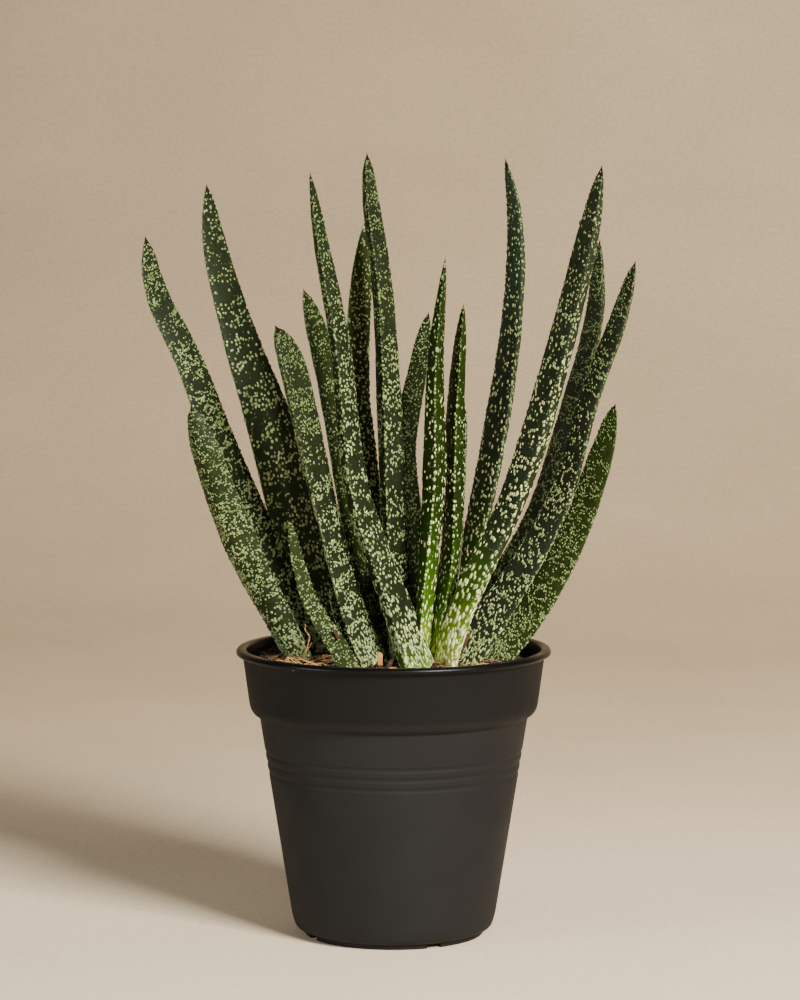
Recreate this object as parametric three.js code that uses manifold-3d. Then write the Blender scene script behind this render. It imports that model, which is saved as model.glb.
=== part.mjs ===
// Potted gasteria: a clump of nineteen fleshy, keeled leaves with two growing points, rooted in a
// twelve-centimetre plastic nursery pot full of peat. Millimetres, +Z up, with the origin at the
// centre of the pot's flat underside. The plant's broad side faces -Y.
import * as THREE from 'three';
import { mergeVertices } from 'three/addons/utils/BufferGeometryUtils.js';
import Module from 'manifold-3d';

const wasm = await Module();
wasm.setup();

// ---- Driving dimensions ---------------------------------------------------------------------

const GAP = 0.3; // air left between pieces that touch

const POT_HEIGHT = 110;
const RIM_RADIUS = 60; // over the rolled lip
const WALL = 1.4;
const COLLAR_TOP_RADIUS = 57.6; // just under the lip
const COLLAR_FOOT_RADIUS = 55;
const COLLAR_FOOT_HEIGHT = 88;
const BODY_TOP_RADIUS = 51.2;
const BODY_TOP_HEIGHT = 84;
const BODY_FOOT_RADIUS = 38.9;
const BODY_FOOT_HEIGHT = 7;
const HEEL_INSET = 0.8; // the rounded heel between the body and the foot bends about a point
const HEEL_RISE = 0.4; // this far in from the body and above the foot
const UNDERSIDE_DROP = 2.4; // the collar's sloping underside, down from its foot
const UNDERSIDE_INSET = 1.8; // and in from it
const UNDERSIDE_ROUND = 1.4; // height of the rounded corner above it
const UNDERSIDE_FLARE = 0.2; // and how far out it ends
const LIP_HEIGHT = 2.8;
const LIP_FOOT_ROUND = 0.8;
const LIP_TOP_ROUND = 1.6;
const FOOT_RADIUS = 34.2; // the narrow ring that the pot stands on
const FOOT_HEIGHT = 1.8;
const FOOT_CHAMFER = 0.6;
const BASE_PLATE = 2.6; // thickness of the pot's bottom
const POT_SIDES = 48;

const RING_TOP_HEIGHT = 70.5; // the highest of the moulded grooves round the body
const RING_PITCH = 3.9;
const RING_COUNT = 3;
const RING_DEPTH = 0.5;
const RING_WIDTH = 1.8;

const DRAIN_COUNT = 4;
const DRAIN_TURN = -63.5; // degrees from +X to the first drain
const DRAIN_RADIUS = 4;
const DRAIN_CIRCLE = 24;
const CHANNEL_WIDTH = 5.7;
const CHANNEL_DEPTH = 1.6;
const CHANNEL_START = 15; // a solid disc inside this radius carries the middle of the pot

const SOIL_HEIGHT = 104.5; // where it meets the pot's wall
const SOIL_CROWN = 2; // how much higher the soil is in the middle
const SOIL_SHOULDER = 0.6; // share of the radius where most of that rise is reached
const SOIL_SHOULDER_RISE = 0.7; // and the share of the rise there

const LEAF_SIDES = 12;
const LEAF_RINGS = 14;
const TIP_CROWDING = 1.25; // above 1 the rings come closer together towards the tip
const KEEL_SHARPNESS = 1.6; // 1 is a straight-sided keel, 2 a round one
const UPPER_SHARE = 0.16; // share of a leaf's thickness that is above its margins

// Each leaf: points from its base in the soil to its tip, its full width at the base, half way and
// near the tip, how fast its point narrows, the compass turn of its upper face and how thick it is
// for its width.
const LEAVES = [
  { // far left, long
    spine: [
      [-27, 7, 95], [-41.3, 7, 127], [-63.6, 7, 176],
      [-79, 6.5, 218], [-91.6, 6, 246], [-94.2, 6, 266.5],
    ],
    width: [15, 16.5, 11], point: 8, faces: -40, keel: 0.45,
  },
  { // far left, short and broad, showing its keeled back
    spine: [[-33, -4, 95], [-45.5, -5, 122], [-59.5, -8, 152], [-71, -11, 184], [-76.3, -12, 203]],
    width: [8, 15, 11.5], point: 6, faces: 65, keel: 0.45,
  },
  { // left, long and broad
    spine: [
      [-16, 22, 96], [-35, 22, 141], [-48.5, 21, 191],
      [-62, 20, 232], [-70, 19, 265], [-71.5, 18, 286],
    ],
    width: [15.5, 21.5, 10.5], point: 10, faces: -45, keel: 0.42,
  },
  { // front left, middle height
    spine: [
      [0, -17, 96], [-11, -18, 118], [-21.5, -19, 151],
      [-30, -20, 183], [-38.5, -22, 217.5], [-44.2, -22, 234],
    ],
    width: [13, 13, 18], point: 7, faces: -30, keel: 0.45,
  },
  { // front left, small
    spine: [[-12, -23, 96], [-22, -28, 115], [-31, -31, 131], [-35.7, -33, 146], [-38.8, -35, 163]],
    width: [9.5, 6.5, 5], point: 7, faces: -60, keel: 0.4,
  },
  { // left of the middle, behind
    spine: [[-5, 4, 96], [-14, 5, 142], [-20, 5, 178], [-26, 6, 212], [-34.4, 6, 246.5]],
    width: [11, 14.5, 13], point: 9, faces: -40, keel: 0.42,
  },
  { // front, long, leaning left
    spine: [
      [9, -18, 96], [0, -17, 126], [-14.7, -17.5, 171],
      [-20.8, -18.5, 226], [-28, -19.5, 267], [-31.2, -20, 291],
    ],
    width: [19, 13.5, 10], point: 16, faces: -25, keel: 0.5,
  },
  { // left, hardly out of the soil
    spine: [[-9, -8, 97], [-15, -9, 113], [-21, -9.5, 124], [-24.1, -10, 136]],
    width: [9, 9, 7.5], point: 6, faces: -40, keel: 0.42,
  },
  { // the tallest
    spine: [
      [3, 1, 96], [-0.7, 1.5, 150], [-2.8, 2, 202],
      [-5.2, 2, 247], [-9.7, 2, 283], [-10.1, 2, 298],
    ],
    width: [14, 15.5, 10], point: 7, faces: -25, keel: 0.5,
  },
  { // behind the tallest
    spine: [[-2.5, 17, 96], [-10.8, 17.5, 156], [-15.2, 18, 206], [-13.5, 19, 246], [-10.2, 19, 273]],
    width: [11.5, 13.5, 10], point: 8, faces: -50, keel: 0.42,
  },
  { // behind, leaning right at its tip
    spine: [[7.5, 18, 96], [5, 18.5, 150], [4, 19, 185], [10.5, 20, 217], [13.5, 20, 237]],
    width: [9.5, 11.3, 8.5], point: 7, faces: -130, keel: 0.42,
  },
  { // young, right crown, left of the pair
    spine: [[10, -3.5, 97], [11.3, -5, 127], [14.6, -5, 171], [15.6, -4, 222], [19.5, -3, 259]],
    width: [8, 16.5, 7], point: 12, faces: -15, keel: 0.5,
  },
  { // young, right crown, right of the pair
    spine: [[14, 3, 97], [17, 3, 118], [21.8, 3, 142], [24, 3, 200], [26.6, 3, 241]],
    width: [8, 15.5, 10.5], point: 11, faces: -165, keel: 0.45,
  },
  { // young, behind the pair
    spine: [[19, 10, 97], [24.5, 12, 156], [26.2, 12, 186], [27.2, 12, 203]],
    width: [8, 10.5, 9], point: 7, faces: -150, keel: 0.42,
  },
  { // back right, bent like an S
    spine: [
      [17, 20, 96], [33.5, 20, 156], [43.6, 20, 210],
      [47.6, 20, 250], [46.5, 20, 278], [42.5, 20, 296],
    ],
    width: [12.5, 15.5, 9.5], point: 12, faces: -150, keel: 0.45,
  },
  { // front right, long, with the pale base
    spine: [
      [19, -11.5, 96], [24.7, -13, 120], [47.5, -17, 172],
      [62.4, -21, 222], [74.4, -25, 274], [77.2, -26, 293.5],
    ],
    width: [13, 18, 14], point: 12, faces: -158, keel: 0.48,
  },
  { // right, behind
    spine: [
      [25, 8, 96], [40, 9.5, 125], [59, 12, 161],
      [69.5, 14, 200], [77.8, 15.5, 236], [78.7, 16, 265],
    ],
    width: [13, 16, 10.5], point: 9, faces: -155, keel: 0.45,
  },
  { // far right, long
    spine: [
      [23.5, -4.5, 96], [44.2, -5, 127], [63.2, -5, 163],
      [74.6, -5.5, 204], [86.4, -6, 237.5], [91.1, -6, 257.5],
    ],
    width: [14, 13.5, 10.5], point: 9, faces: -150, keel: 0.45,
  },
  { // far right, short
    spine: [[34.5, 10, 96], [54.8, 9, 121], [71, 7, 153], [81.3, 5, 185], [84.5, 4, 203]],
    width: [10, 13.5, 12], point: 8, faces: -140, keel: 0.45,
  },
];

const ROOTSTOCK_CENTRE = [2, -2, 87];
const ROOTSTOCK_HALF_SIZE = [38, 24, 12];
const ROOT_RADIUS = 2.6;
const ROOT_TAPER = 0.6; // share of its radius that a root has lost at its end
const ROOT_SIDES = 6;
const ROOT_RINGS = 5;
// The thick roots, each from inside the rootstock outwards and down.
const ROOTS = [
  [[-22, -4, 84], [-34, -12, 66], [-36, -14, 40], [-26, -20, 18]],
  [[-12, 8, 82], [-18, 24, 62], [-26, 28, 36], [-14, 30, 12]],
  [[4, -10, 82], [2, -26, 62], [-6, -30, 38], [2, -27, 14]],
  [[14, 8, 82], [18, 24, 60], [24, 26, 34], [30, 14, 10]],
  [[26, -4, 84], [36, -10, 64], [34, -20, 38], [20, -28, 16]],
];

// Small loose things on the soil: a dry root that curls up out of it, a withered leaf scale and a
// splinter of bark. The first two are tapered and bent, so each is a row of points.
const CURLED_ROOT = [
  [-37, -13, 106.4], [-34.5, -11, 107.2], [-32.2, -10, 111], [-31.6, -9.6, 115], [-33.2, -9.4, 120],
];
const CURLED_ROOT_RADIUS = 0.8;
const CURLED_ROOT_TAPER = 0.5;
const SCALE = [[-9.5, -14.8, 108.2], [-12, -15.2, 109], [-15, -15.2, 111]];
const SCALE_WIDTH = 4.4;
const SCALE_THICKNESS = 1.2;
const SPLINTER_SIZE = [1.8, 1.4, 5];
const SPLINTER_CENTRE = [-5, -27.5, 109.4];

// ---- Finishes -------------------------------------------------------------------------------

function finish(color, roughness) {
  return new THREE.MeshStandardMaterial({ color, roughness, metalness: 0 });
}

const FINISHES = {
  pot: finish(0x2e2c2a, 0.55),
  peat: finish(0x2a1d14, 0.95),
  leaf: finish(0x36462a, 0.45),
  bark: finish(0x9a5f36, 0.9),
  root: finish(0xb59368, 0.85),
};

// ---- Helpers --------------------------------------------------------------------------------

function toSolid(geometry) {
  const bare = geometry.clone();
  bare.deleteAttribute('normal');
  bare.deleteAttribute('uv');
  const merged = mergeVertices(bare, 1e-4);
  const vertProperties = new Float32Array(merged.getAttribute('position').array);
  const triVerts = new Uint32Array(merged.getIndex().array);
  return new wasm.Manifold(new wasm.Mesh({ numProp: 3, vertProperties, triVerts }));
}

function toGeometry(solid) {
  const mesh = solid.getMesh();
  const geometry = new THREE.BufferGeometry();
  geometry.setAttribute('position', new THREE.BufferAttribute(new Float32Array(mesh.vertProperties), 3));
  geometry.setIndex(new THREE.BufferAttribute(new Uint32Array(mesh.triVerts), 1));
  return geometry;
}

function curveThrough(points) {
  const corners = points.map((point) => new THREE.Vector3(...point));
  return new THREE.CatmullRomCurve3(corners, false, 'centripetal');
}

// Bends a closed cone along a curve. The section function takes the angle round the cone and the
// fraction along the curve, and gives the distances across and through the curve.
function bentCone(curve, faceTurn, sides, rings, section) {
  const cone = new THREE.ConeGeometry(1, 1, sides, rings);
  const position = cone.getAttribute('position');
  const turn = THREE.MathUtils.degToRad(faceTurn);
  const face = new THREE.Vector3(Math.cos(turn), Math.sin(turn), 0);
  const point = new THREE.Vector3();
  for (let i = 0; i < position.count; i += 1) {
    point.fromBufferAttribute(position, i);
    const up = point.y + 0.5;
    const skin = up < 1 ? Math.hypot(point.x, point.z) / (1 - up) : 0;
    const angle = Math.atan2(point.z, point.x);
    const along = 1 - (1 - up) ** TIP_CROWDING;
    const tangent = curve.getTangentAt(along);
    const through = face.clone().addScaledVector(tangent, -face.dot(tangent)).normalize();
    const across = new THREE.Vector3().crossVectors(tangent, through);
    const [x, y] = section(angle, along);
    const place = curve.getPointAt(along);
    place.addScaledVector(across, x * skin);
    place.addScaledVector(through, y * skin);
    position.setXYZ(i, place.x, place.y, place.z);
  }
  return cone;
}

// Round stretches are turned with a few points on each quarter.
function latheOf(path, sides) {
  const lathe = new THREE.LatheGeometry(path.getPoints(2), sides);
  lathe.rotateX(Math.PI / 2);
  return lathe;
}

// ---- Pot ------------------------------------------------------------------------------------

// The body's outer radius at a height, between its foot and the collar.
function bodyRadius(height) {
  const share = (height - BODY_FOOT_HEIGHT) / (BODY_TOP_HEIGHT - BODY_FOOT_HEIGHT);
  return THREE.MathUtils.lerp(BODY_FOOT_RADIUS, BODY_TOP_RADIUS, share);
}

function collarRadius(height) {
  const span = POT_HEIGHT - LIP_HEIGHT - COLLAR_FOOT_HEIGHT;
  const share = (height - COLLAR_FOOT_HEIGHT) / span;
  return THREE.MathUtils.lerp(COLLAR_FOOT_RADIUS, COLLAR_TOP_RADIUS, share);
}

function groove(path, height) {
  const edge = RING_WIDTH / 2;
  path.lineTo(bodyRadius(height - edge), height - edge);
  path.quadraticCurveTo(
    bodyRadius(height) - 2 * RING_DEPTH, height,
    bodyRadius(height + edge), height + edge,
  );
}

function potWall() {
  const lipFoot = POT_HEIGHT - LIP_HEIGHT;
  const path = new THREE.Path();
  path.moveTo(0, 0);
  path.lineTo(FOOT_RADIUS - FOOT_CHAMFER, 0);
  path.lineTo(FOOT_RADIUS, FOOT_CHAMFER);
  path.lineTo(FOOT_RADIUS, FOOT_HEIGHT);
  path.quadraticCurveTo(
    BODY_FOOT_RADIUS - HEEL_INSET, FOOT_HEIGHT + HEEL_RISE,
    BODY_FOOT_RADIUS, BODY_FOOT_HEIGHT,
  );
  for (let i = RING_COUNT - 1; i >= 0; i -= 1) {
    groove(path, RING_TOP_HEIGHT - i * RING_PITCH);
  }
  path.lineTo(BODY_TOP_RADIUS, BODY_TOP_HEIGHT);
  path.lineTo(COLLAR_FOOT_RADIUS - UNDERSIDE_INSET, COLLAR_FOOT_HEIGHT - UNDERSIDE_DROP);
  path.quadraticCurveTo(
    COLLAR_FOOT_RADIUS, COLLAR_FOOT_HEIGHT - UNDERSIDE_DROP / 2,
    COLLAR_FOOT_RADIUS + UNDERSIDE_FLARE, COLLAR_FOOT_HEIGHT + UNDERSIDE_ROUND,
  );
  path.lineTo(COLLAR_TOP_RADIUS, lipFoot);
  path.lineTo(RIM_RADIUS - LIP_FOOT_ROUND, lipFoot);
  path.quadraticCurveTo(RIM_RADIUS, lipFoot, RIM_RADIUS, lipFoot + LIP_HEIGHT / 2);
  path.quadraticCurveTo(RIM_RADIUS, POT_HEIGHT, RIM_RADIUS - LIP_TOP_ROUND, POT_HEIGHT);
  path.quadraticCurveTo(COLLAR_TOP_RADIUS - WALL, POT_HEIGHT, COLLAR_TOP_RADIUS - WALL, lipFoot);
  path.lineTo(COLLAR_FOOT_RADIUS - WALL, COLLAR_FOOT_HEIGHT);
  path.lineTo(BODY_TOP_RADIUS - WALL, BODY_TOP_HEIGHT);
  path.lineTo(BODY_FOOT_RADIUS - WALL, BODY_FOOT_HEIGHT);
  path.lineTo(FOOT_RADIUS, BASE_PLATE);
  path.lineTo(0, BASE_PLATE);
  return toSolid(latheOf(path, POT_SIDES));
}

// One drain: a hole through the bottom, in a channel that runs out under the foot ring.
function drain(turn) {
  const hole = new THREE.CylinderGeometry(DRAIN_RADIUS, DRAIN_RADIUS, 4 * BASE_PLATE, 16);
  hole.rotateX(Math.PI / 2);
  hole.translate(DRAIN_CIRCLE, 0, 0);
  const reach = BODY_FOOT_RADIUS + 2 - CHANNEL_START;
  const channel = new THREE.BoxGeometry(reach, CHANNEL_WIDTH, 2 * CHANNEL_DEPTH);
  channel.translate(CHANNEL_START + reach / 2, 0, 0);
  hole.rotateZ(turn);
  channel.rotateZ(turn);
  return toSolid(hole).add(toSolid(channel));
}

function makePot() {
  let pot = potWall();
  for (let i = 0; i < DRAIN_COUNT; i += 1) {
    const turn = THREE.MathUtils.degToRad(DRAIN_TURN + (i * 360) / DRAIN_COUNT);
    pot = pot.subtract(drain(turn));
  }
  return toGeometry(pot);
}

// ---- Leaves ---------------------------------------------------------------------------------

// The leaf's full width at a fraction of its length: through the three given widths, then in to
// the point.
function leafWidth(plan, along, length) {
  const [base, middle, top] = plan.width;
  const lower = THREE.MathUtils.lerp(base, middle, Math.min(along * 2, 1));
  const width = THREE.MathUtils.lerp(lower, top, Math.max(along * 2 - 1, 0));
  return width * (1 - Math.exp((-(1 - along) * length) / plan.point));
}

// A flat upper face and a keeled lower one. The leaf may be made a little larger all round, which
// gives the socket that it stands in.
function makeLeaf(plan, grow = 0) {
  const curve = curveThrough(plan.spine);
  const length = curve.getLength();
  return bentCone(curve, plan.faces, LEAF_SIDES, LEAF_RINGS, (angle, along) => {
    const width = leafWidth(plan, along, length);
    const thickness = width * plan.keel;
    const side = Math.cos(angle);
    const upper = (thickness * UPPER_SHARE + grow) * Math.sin(angle);
    const lower = (thickness * (1 - UPPER_SHARE) + grow) * (Math.abs(side) ** KEEL_SHARPNESS - 1);
    const middle = thickness * (0.5 - UPPER_SHARE);
    return [(width / 2 + grow) * side, middle + (angle > 0 ? upper : lower)];
  });
}

// The leaf's socket also goes a gap deeper than the leaf.
function makeSocket(plan) {
  const [first, second] = plan.spine.map((point) => new THREE.Vector3(...point));
  const below = first.clone().addScaledVector(second.clone().sub(first).normalize(), -GAP);
  const spine = [below.toArray(), ...plan.spine.slice(1)];
  return toSolid(makeLeaf({ ...plan, spine }, GAP));
}

// ---- Rootstock, roots and soil ----------------------------------------------------------------

// The short thick stem under the leaves, with its fleshy roots, grown as one piece.
function makeRootstock(grow = 0) {
  const stock = new THREE.SphereGeometry(1, 20, 10);
  stock.rotateX(Math.PI / 2);
  stock.scale(...ROOTSTOCK_HALF_SIZE.map((half) => half + grow));
  stock.translate(...ROOTSTOCK_CENTRE);
  let solid = toSolid(stock);
  for (const points of ROOTS) {
    const root = bentCone(curveThrough(points), 0, ROOT_SIDES, ROOT_RINGS, (angle, along) => {
      const radius = ROOT_RADIUS * (1 - ROOT_TAPER * along) + grow;
      return [radius * Math.cos(angle), radius * Math.sin(angle)];
    });
    solid = solid.add(toSolid(root));
  }
  return solid;
}

// The soil fills the pot from its bottom up to a little below the lip.
function soilPlug() {
  const wall = WALL + GAP;
  const path = new THREE.Path();
  path.moveTo(0, BASE_PLATE + GAP);
  path.lineTo(FOOT_RADIUS - GAP, BASE_PLATE + GAP);
  path.lineTo(BODY_FOOT_RADIUS - wall, BODY_FOOT_HEIGHT + GAP);
  path.lineTo(BODY_TOP_RADIUS - wall, BODY_TOP_HEIGHT + GAP);
  path.lineTo(COLLAR_FOOT_RADIUS - wall, COLLAR_FOOT_HEIGHT + GAP);
  path.lineTo(collarRadius(SOIL_HEIGHT) - wall, SOIL_HEIGHT);
  path.lineTo(
    collarRadius(SOIL_HEIGHT) * SOIL_SHOULDER,
    SOIL_HEIGHT + SOIL_CROWN * SOIL_SHOULDER_RISE,
  );
  path.lineTo(0, SOIL_HEIGHT + SOIL_CROWN);
  return toSolid(latheOf(path, POT_SIDES));
}

// ---- Loose things on the soil -----------------------------------------------------------------

function makeCurledRoot() {
  return bentCone(curveThrough(CURLED_ROOT), 0, 6, 8, (angle, along) => {
    const radius = CURLED_ROOT_RADIUS * (1 - CURLED_ROOT_TAPER * along);
    return [radius * Math.cos(angle), radius * Math.sin(angle)];
  });
}

function makeScale() {
  return bentCone(curveThrough(SCALE), -90, 8, 5, (angle, along) => {
    const size = Math.sqrt(1 - along * along);
    return [SCALE_WIDTH / 2 * size * Math.cos(angle), SCALE_THICKNESS / 2 * size * Math.sin(angle)];
  });
}

// A splinter with one end broken off aslant.
function makeSplinter() {
  const [width, depth, height] = SPLINTER_SIZE;
  const outline = new THREE.Shape();
  outline.moveTo(-width / 2, -height / 2);
  outline.lineTo(width / 2, -height / 2);
  outline.lineTo(width / 2, height * 0.3);
  outline.lineTo(width * 0.1, height / 2);
  outline.lineTo(-width / 2, height * 0.4);
  const splinter = new THREE.ExtrudeGeometry(outline, { depth, bevelEnabled: false });
  splinter.translate(0, 0, -depth / 2);
  splinter.rotateX(Math.PI / 2);
  splinter.translate(...SPLINTER_CENTRE);
  return splinter;
}

// ---- Assembly -------------------------------------------------------------------------------

const plant = new THREE.Group();

function addPiece(parent, name, geometry, material) {
  const mesh = new THREE.Mesh(geometry, material);
  mesh.name = name;
  parent.add(mesh);
  return mesh;
}

const sockets = wasm.Manifold.union(LEAVES.map(makeSocket));
const leaves = new THREE.Group();
LEAVES.forEach((plan, i) => {
  const number = String(i + 1).padStart(2, '0');
  addPiece(leaves, `leaf_${number}`, makeLeaf(plan), FINISHES.leaf.clone());
});

addPiece(plant, 'pot', makePot(), FINISHES.pot);
const soil = soilPlug().subtract(sockets).subtract(makeRootstock(GAP));
addPiece(plant, 'soil', toGeometry(soil), FINISHES.peat);
addPiece(plant, 'rootstock', toGeometry(makeRootstock().subtract(sockets)), FINISHES.root);
addPiece(plant, 'curled_root', makeCurledRoot(), FINISHES.root.clone());
addPiece(plant, 'withered_scale', makeScale(), FINISHES.bark);
addPiece(plant, 'bark_splinter', makeSplinter(), FINISHES.bark.clone());
plant.add(leaves);

export default plant;
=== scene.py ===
# %% [markdown]
# # A potted gasteria
# A gasteria is a small succulent with thick, keeled leaves. This one is a clump of nineteen leaves
# from two growing points, in a plain nursery pot full of peat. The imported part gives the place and
# size of every piece. This lesson gives them their looks: the moulded pot, the loose soil, and
# leaves whose pale spots stand up from the skin as real bumps.
#
# The steps are: the frame, the camera, the backdrop and the lights, the finishes, the pot, the soil,
# the leaves and their spots, and last the roots and the litter that lie among them.

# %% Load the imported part
import math
import random

import bmesh
import bpy
import numpy as np
from mathutils import Matrix, Vector, noise


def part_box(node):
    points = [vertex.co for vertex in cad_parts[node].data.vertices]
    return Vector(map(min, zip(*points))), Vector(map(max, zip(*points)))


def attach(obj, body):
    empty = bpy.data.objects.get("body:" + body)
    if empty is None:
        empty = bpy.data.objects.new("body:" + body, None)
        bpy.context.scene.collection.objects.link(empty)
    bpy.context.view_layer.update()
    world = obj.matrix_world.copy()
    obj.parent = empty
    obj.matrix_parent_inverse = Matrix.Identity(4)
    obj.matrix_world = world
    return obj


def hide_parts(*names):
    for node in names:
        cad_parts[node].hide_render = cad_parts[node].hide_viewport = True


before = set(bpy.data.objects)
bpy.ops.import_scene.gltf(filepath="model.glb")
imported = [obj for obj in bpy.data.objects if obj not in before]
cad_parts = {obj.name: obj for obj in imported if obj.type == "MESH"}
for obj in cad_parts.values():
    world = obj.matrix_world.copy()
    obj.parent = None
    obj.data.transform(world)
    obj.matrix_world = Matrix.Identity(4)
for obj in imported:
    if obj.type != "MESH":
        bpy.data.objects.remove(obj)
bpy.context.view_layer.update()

MM = 0.001
LEAF_NODES = sorted(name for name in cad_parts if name.startswith("leaf_"))
soil_low, soil_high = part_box("soil")
pot_low, pot_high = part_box("pot")
print("leaves:", len(LEAF_NODES), "soil top:", round(soil_high[2], 4))

# %% [markdown]
# ## Camera
# A small thing looks natural when it is seen as one sees it on a table: from about a metre and a
# half, at the height of the leaf tips, looking slightly down, so the rim of the pot shows as a thin
# ellipse. A long lens fills the picture from there without bending the upright lines.

# %% Camera
CAMERA_DISTANCE = 1.4
CAMERA_HEIGHT = 0.3013
CAMERA_SIDE = 0.0024
CAMERA_PITCH = 0.0961
LENS = 133.3


def placed(name, data):
    """A new object that holds this data, put into the scene."""
    thing = bpy.data.objects.new(name, data)
    bpy.context.collection.objects.link(thing)
    return thing


lens = bpy.data.cameras.new("camera")
lens.lens = LENS
lens.sensor_width = 36.0
camera = placed("camera", lens)
camera.location = (CAMERA_SIDE, -CAMERA_DISTANCE, CAMERA_HEIGHT)
camera.rotation_euler = (math.pi / 2 - CAMERA_PITCH, 0, 0)
bpy.context.scene.camera = camera
print("camera", tuple(round(x, 3) for x in camera.location))

# %% [markdown]
# ## Helpers for materials
# Every finish is a small tree of nodes. These helpers name the few kinds of node that are used over
# and over, so that a finish below reads as a short list of steps.

# %% Nodes for materials
def new_finish(name, constants=None):
    """A new material with its node tree and its Principled shader, which gets these constants."""
    finish = bpy.data.materials.new(name)
    finish.use_nodes = True
    tree = finish.node_tree
    shader = tree.nodes["Principled BSDF"]
    for key, value in (constants or {}).items():
        shader.inputs[key].default_value = value
    return finish, tree, shader


def add(tree, kind, inputs=None, **settings):
    """Adds a node. An input is a plain value, or the socket that feeds it."""
    node = tree.nodes.new(kind)
    for key, value in settings.items():
        setattr(node, key, value)
    for key, value in (inputs or {}).items():
        if isinstance(value, bpy.types.NodeSocket):
            tree.links.new(value, node.inputs[key])
        else:
            node.inputs[key].default_value = value
    return node


def ramp(tree, factor, stops):
    """A colour ramp through (place, colour) stops."""
    node = add(tree, "ShaderNodeValToRGB", {"Fac": factor})
    elements = node.color_ramp.elements
    while len(elements) < len(stops):
        elements.new(0.5)
    for element, (place, colour) in zip(elements, stops):
        element.position = place
        element.color = colour if len(colour) == 4 else (*colour, 1)
    return node.outputs["Color"]


def mix(tree, factor, first, second, blend="MIX"):
    """Mixes two colours. In this node the colour sockets are numbers 6 and 7."""
    inputs = {0: factor, 6: first, 7: second}
    node = add(tree, "ShaderNodeMix", inputs, data_type="RGBA", blend_type=blend)
    return node.outputs[2]


def remap(tree, value, low, high, to_low=0.0, to_high=1.0, smooth=True):
    """Maps the stretch from low to high onto another one, and holds it beyond."""
    inputs = {0: value, 1: low, 2: high, 3: to_low, 4: to_high}
    kind = "SMOOTHSTEP" if smooth else "LINEAR"
    node = add(tree, "ShaderNodeMapRange", inputs, interpolation_type=kind)
    return node.outputs[0]


def calculate(tree, operation, first, second=0.0):
    return add(tree, "ShaderNodeMath", {0: first, 1: second}, operation=operation).outputs[0]


print("helpers:", [helper.__name__ for helper in (new_finish, add, ramp, mix, remap, calculate)])

# %% Places and patterns
BAKE_MAP = "OFBake"  # the name of every piece's own UV map


def object_place(tree):
    return add(tree, "ShaderNodeTexCoord").outputs["Object"]


def where(tree, vector):
    """The X, Y and Z of a vector."""
    return add(tree, "ShaderNodeSeparateXYZ", {"Vector": vector}).outputs


def own_map(tree):
    """Where a point lies on its piece's own UV map, as X and Y."""
    return where(tree, add(tree, "ShaderNodeUVMap", uv_map=BAKE_MAP).outputs["UV"])


def grain(tree, place, scale, detail=3.0, roughness=0.55):
    """Cloudy noise with about this many lumps to a metre, from 0 to 1."""
    inputs = {"Vector": place, "Scale": scale, "Detail": detail, "Roughness": roughness}
    return add(tree, "ShaderNodeTexNoise", inputs).outputs["Fac"]


def bumped(tree, shader, height, strength, depth):
    """Feeds a height to the shader's normal."""
    inputs = {"Height": height, "Strength": strength, "Distance": depth}
    normal = add(tree, "ShaderNodeBump", inputs).outputs["Normal"]
    tree.links.new(normal, shader.inputs["Normal"])


print("every piece's UV map:", BAKE_MAP)

# %% [markdown]
# ## The paper backdrop
# A photographer hangs a roll of paper and lets it run out over the table, so that floor and wall
# meet in a soft bend without a line. A bevelled corner between two planes would do as well. Here a
# point is spun through a quarter turn for the bend, and the whole outline is then drawn out
# sideways, so the sheet stays one mesh with even faces.

# %% Backdrop paper
FLOOR_PAPER = (0.80, 0.64, 0.435)
WALL_PAPER = (0.762, 0.570, 0.347)
# The wall is painted darker up at the left, a painted light falloff, as if less lit there.
WALL_PAINTED_SHADE = (0.545, 0.403, 0.243)
PAPER_PAINTED_FALLOFF = (-0.65, 0.0)  # the wall is darkest up at the left, and fully lit from the middle on
FLOOR_TO_WALL = (0.0, 0.6)


def paper_finish():
    """Paler on the floor, warmer and a little cloudy where it turns up into the wall, with a painted
    light falloff that darkens the wall up at the left.
    """
    finish, tree, shader = new_finish("backdrop_paper", {"Roughness": 0.9, "Specular IOR Level": 0.15})
    place = object_place(tree)
    x, y, z = where(tree, place)
    # Painted light falloff: the wall's colour darkens towards its upper left.
    corner = calculate(tree, "SUBTRACT", x, calculate(tree, "MULTIPLY", z, 0.5))
    lit = remap(tree, corner, *PAPER_PAINTED_FALLOFF, smooth=False)
    painted_falloff = mix(tree, lit, (*WALL_PAINTED_SHADE, 1), (*WALL_PAPER, 1))
    paper = mix(tree, remap(tree, y, *FLOOR_TO_WALL), (*FLOOR_PAPER, 1), painted_falloff)
    for lumps, dark, light in (((5, 5.0, 0.6), 0.93, 1.05), ((330, 4.0, 0.7), 0.9, 1.07)):
        stops = [(0.3, (dark,) * 3), (0.7, (light,) * 3)]
        cloud = ramp(tree, grain(tree, place, *lumps), stops)
        paper = mix(tree, 1.0, paper, cloud, "MULTIPLY")
    tree.links.new(paper, shader.inputs["Base Color"])
    return finish


PAPER = paper_finish()
print("finish:", PAPER.name)

# %% Backdrop sheet
HALF_WIDTH, FRONT, WALL_PLACE, BEND, WALL_HEIGHT = 12.0, -12.0, 1.9, 1.1, 3.5


def as_mesh(name, bm):
    """Turns the faces outward and moves the bmesh into a mesh."""
    bmesh.ops.recalc_face_normals(bm, faces=bm.faces)
    mesh = bpy.data.meshes.new(name)
    bm.to_mesh(mesh)
    bm.free()
    return mesh


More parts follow.
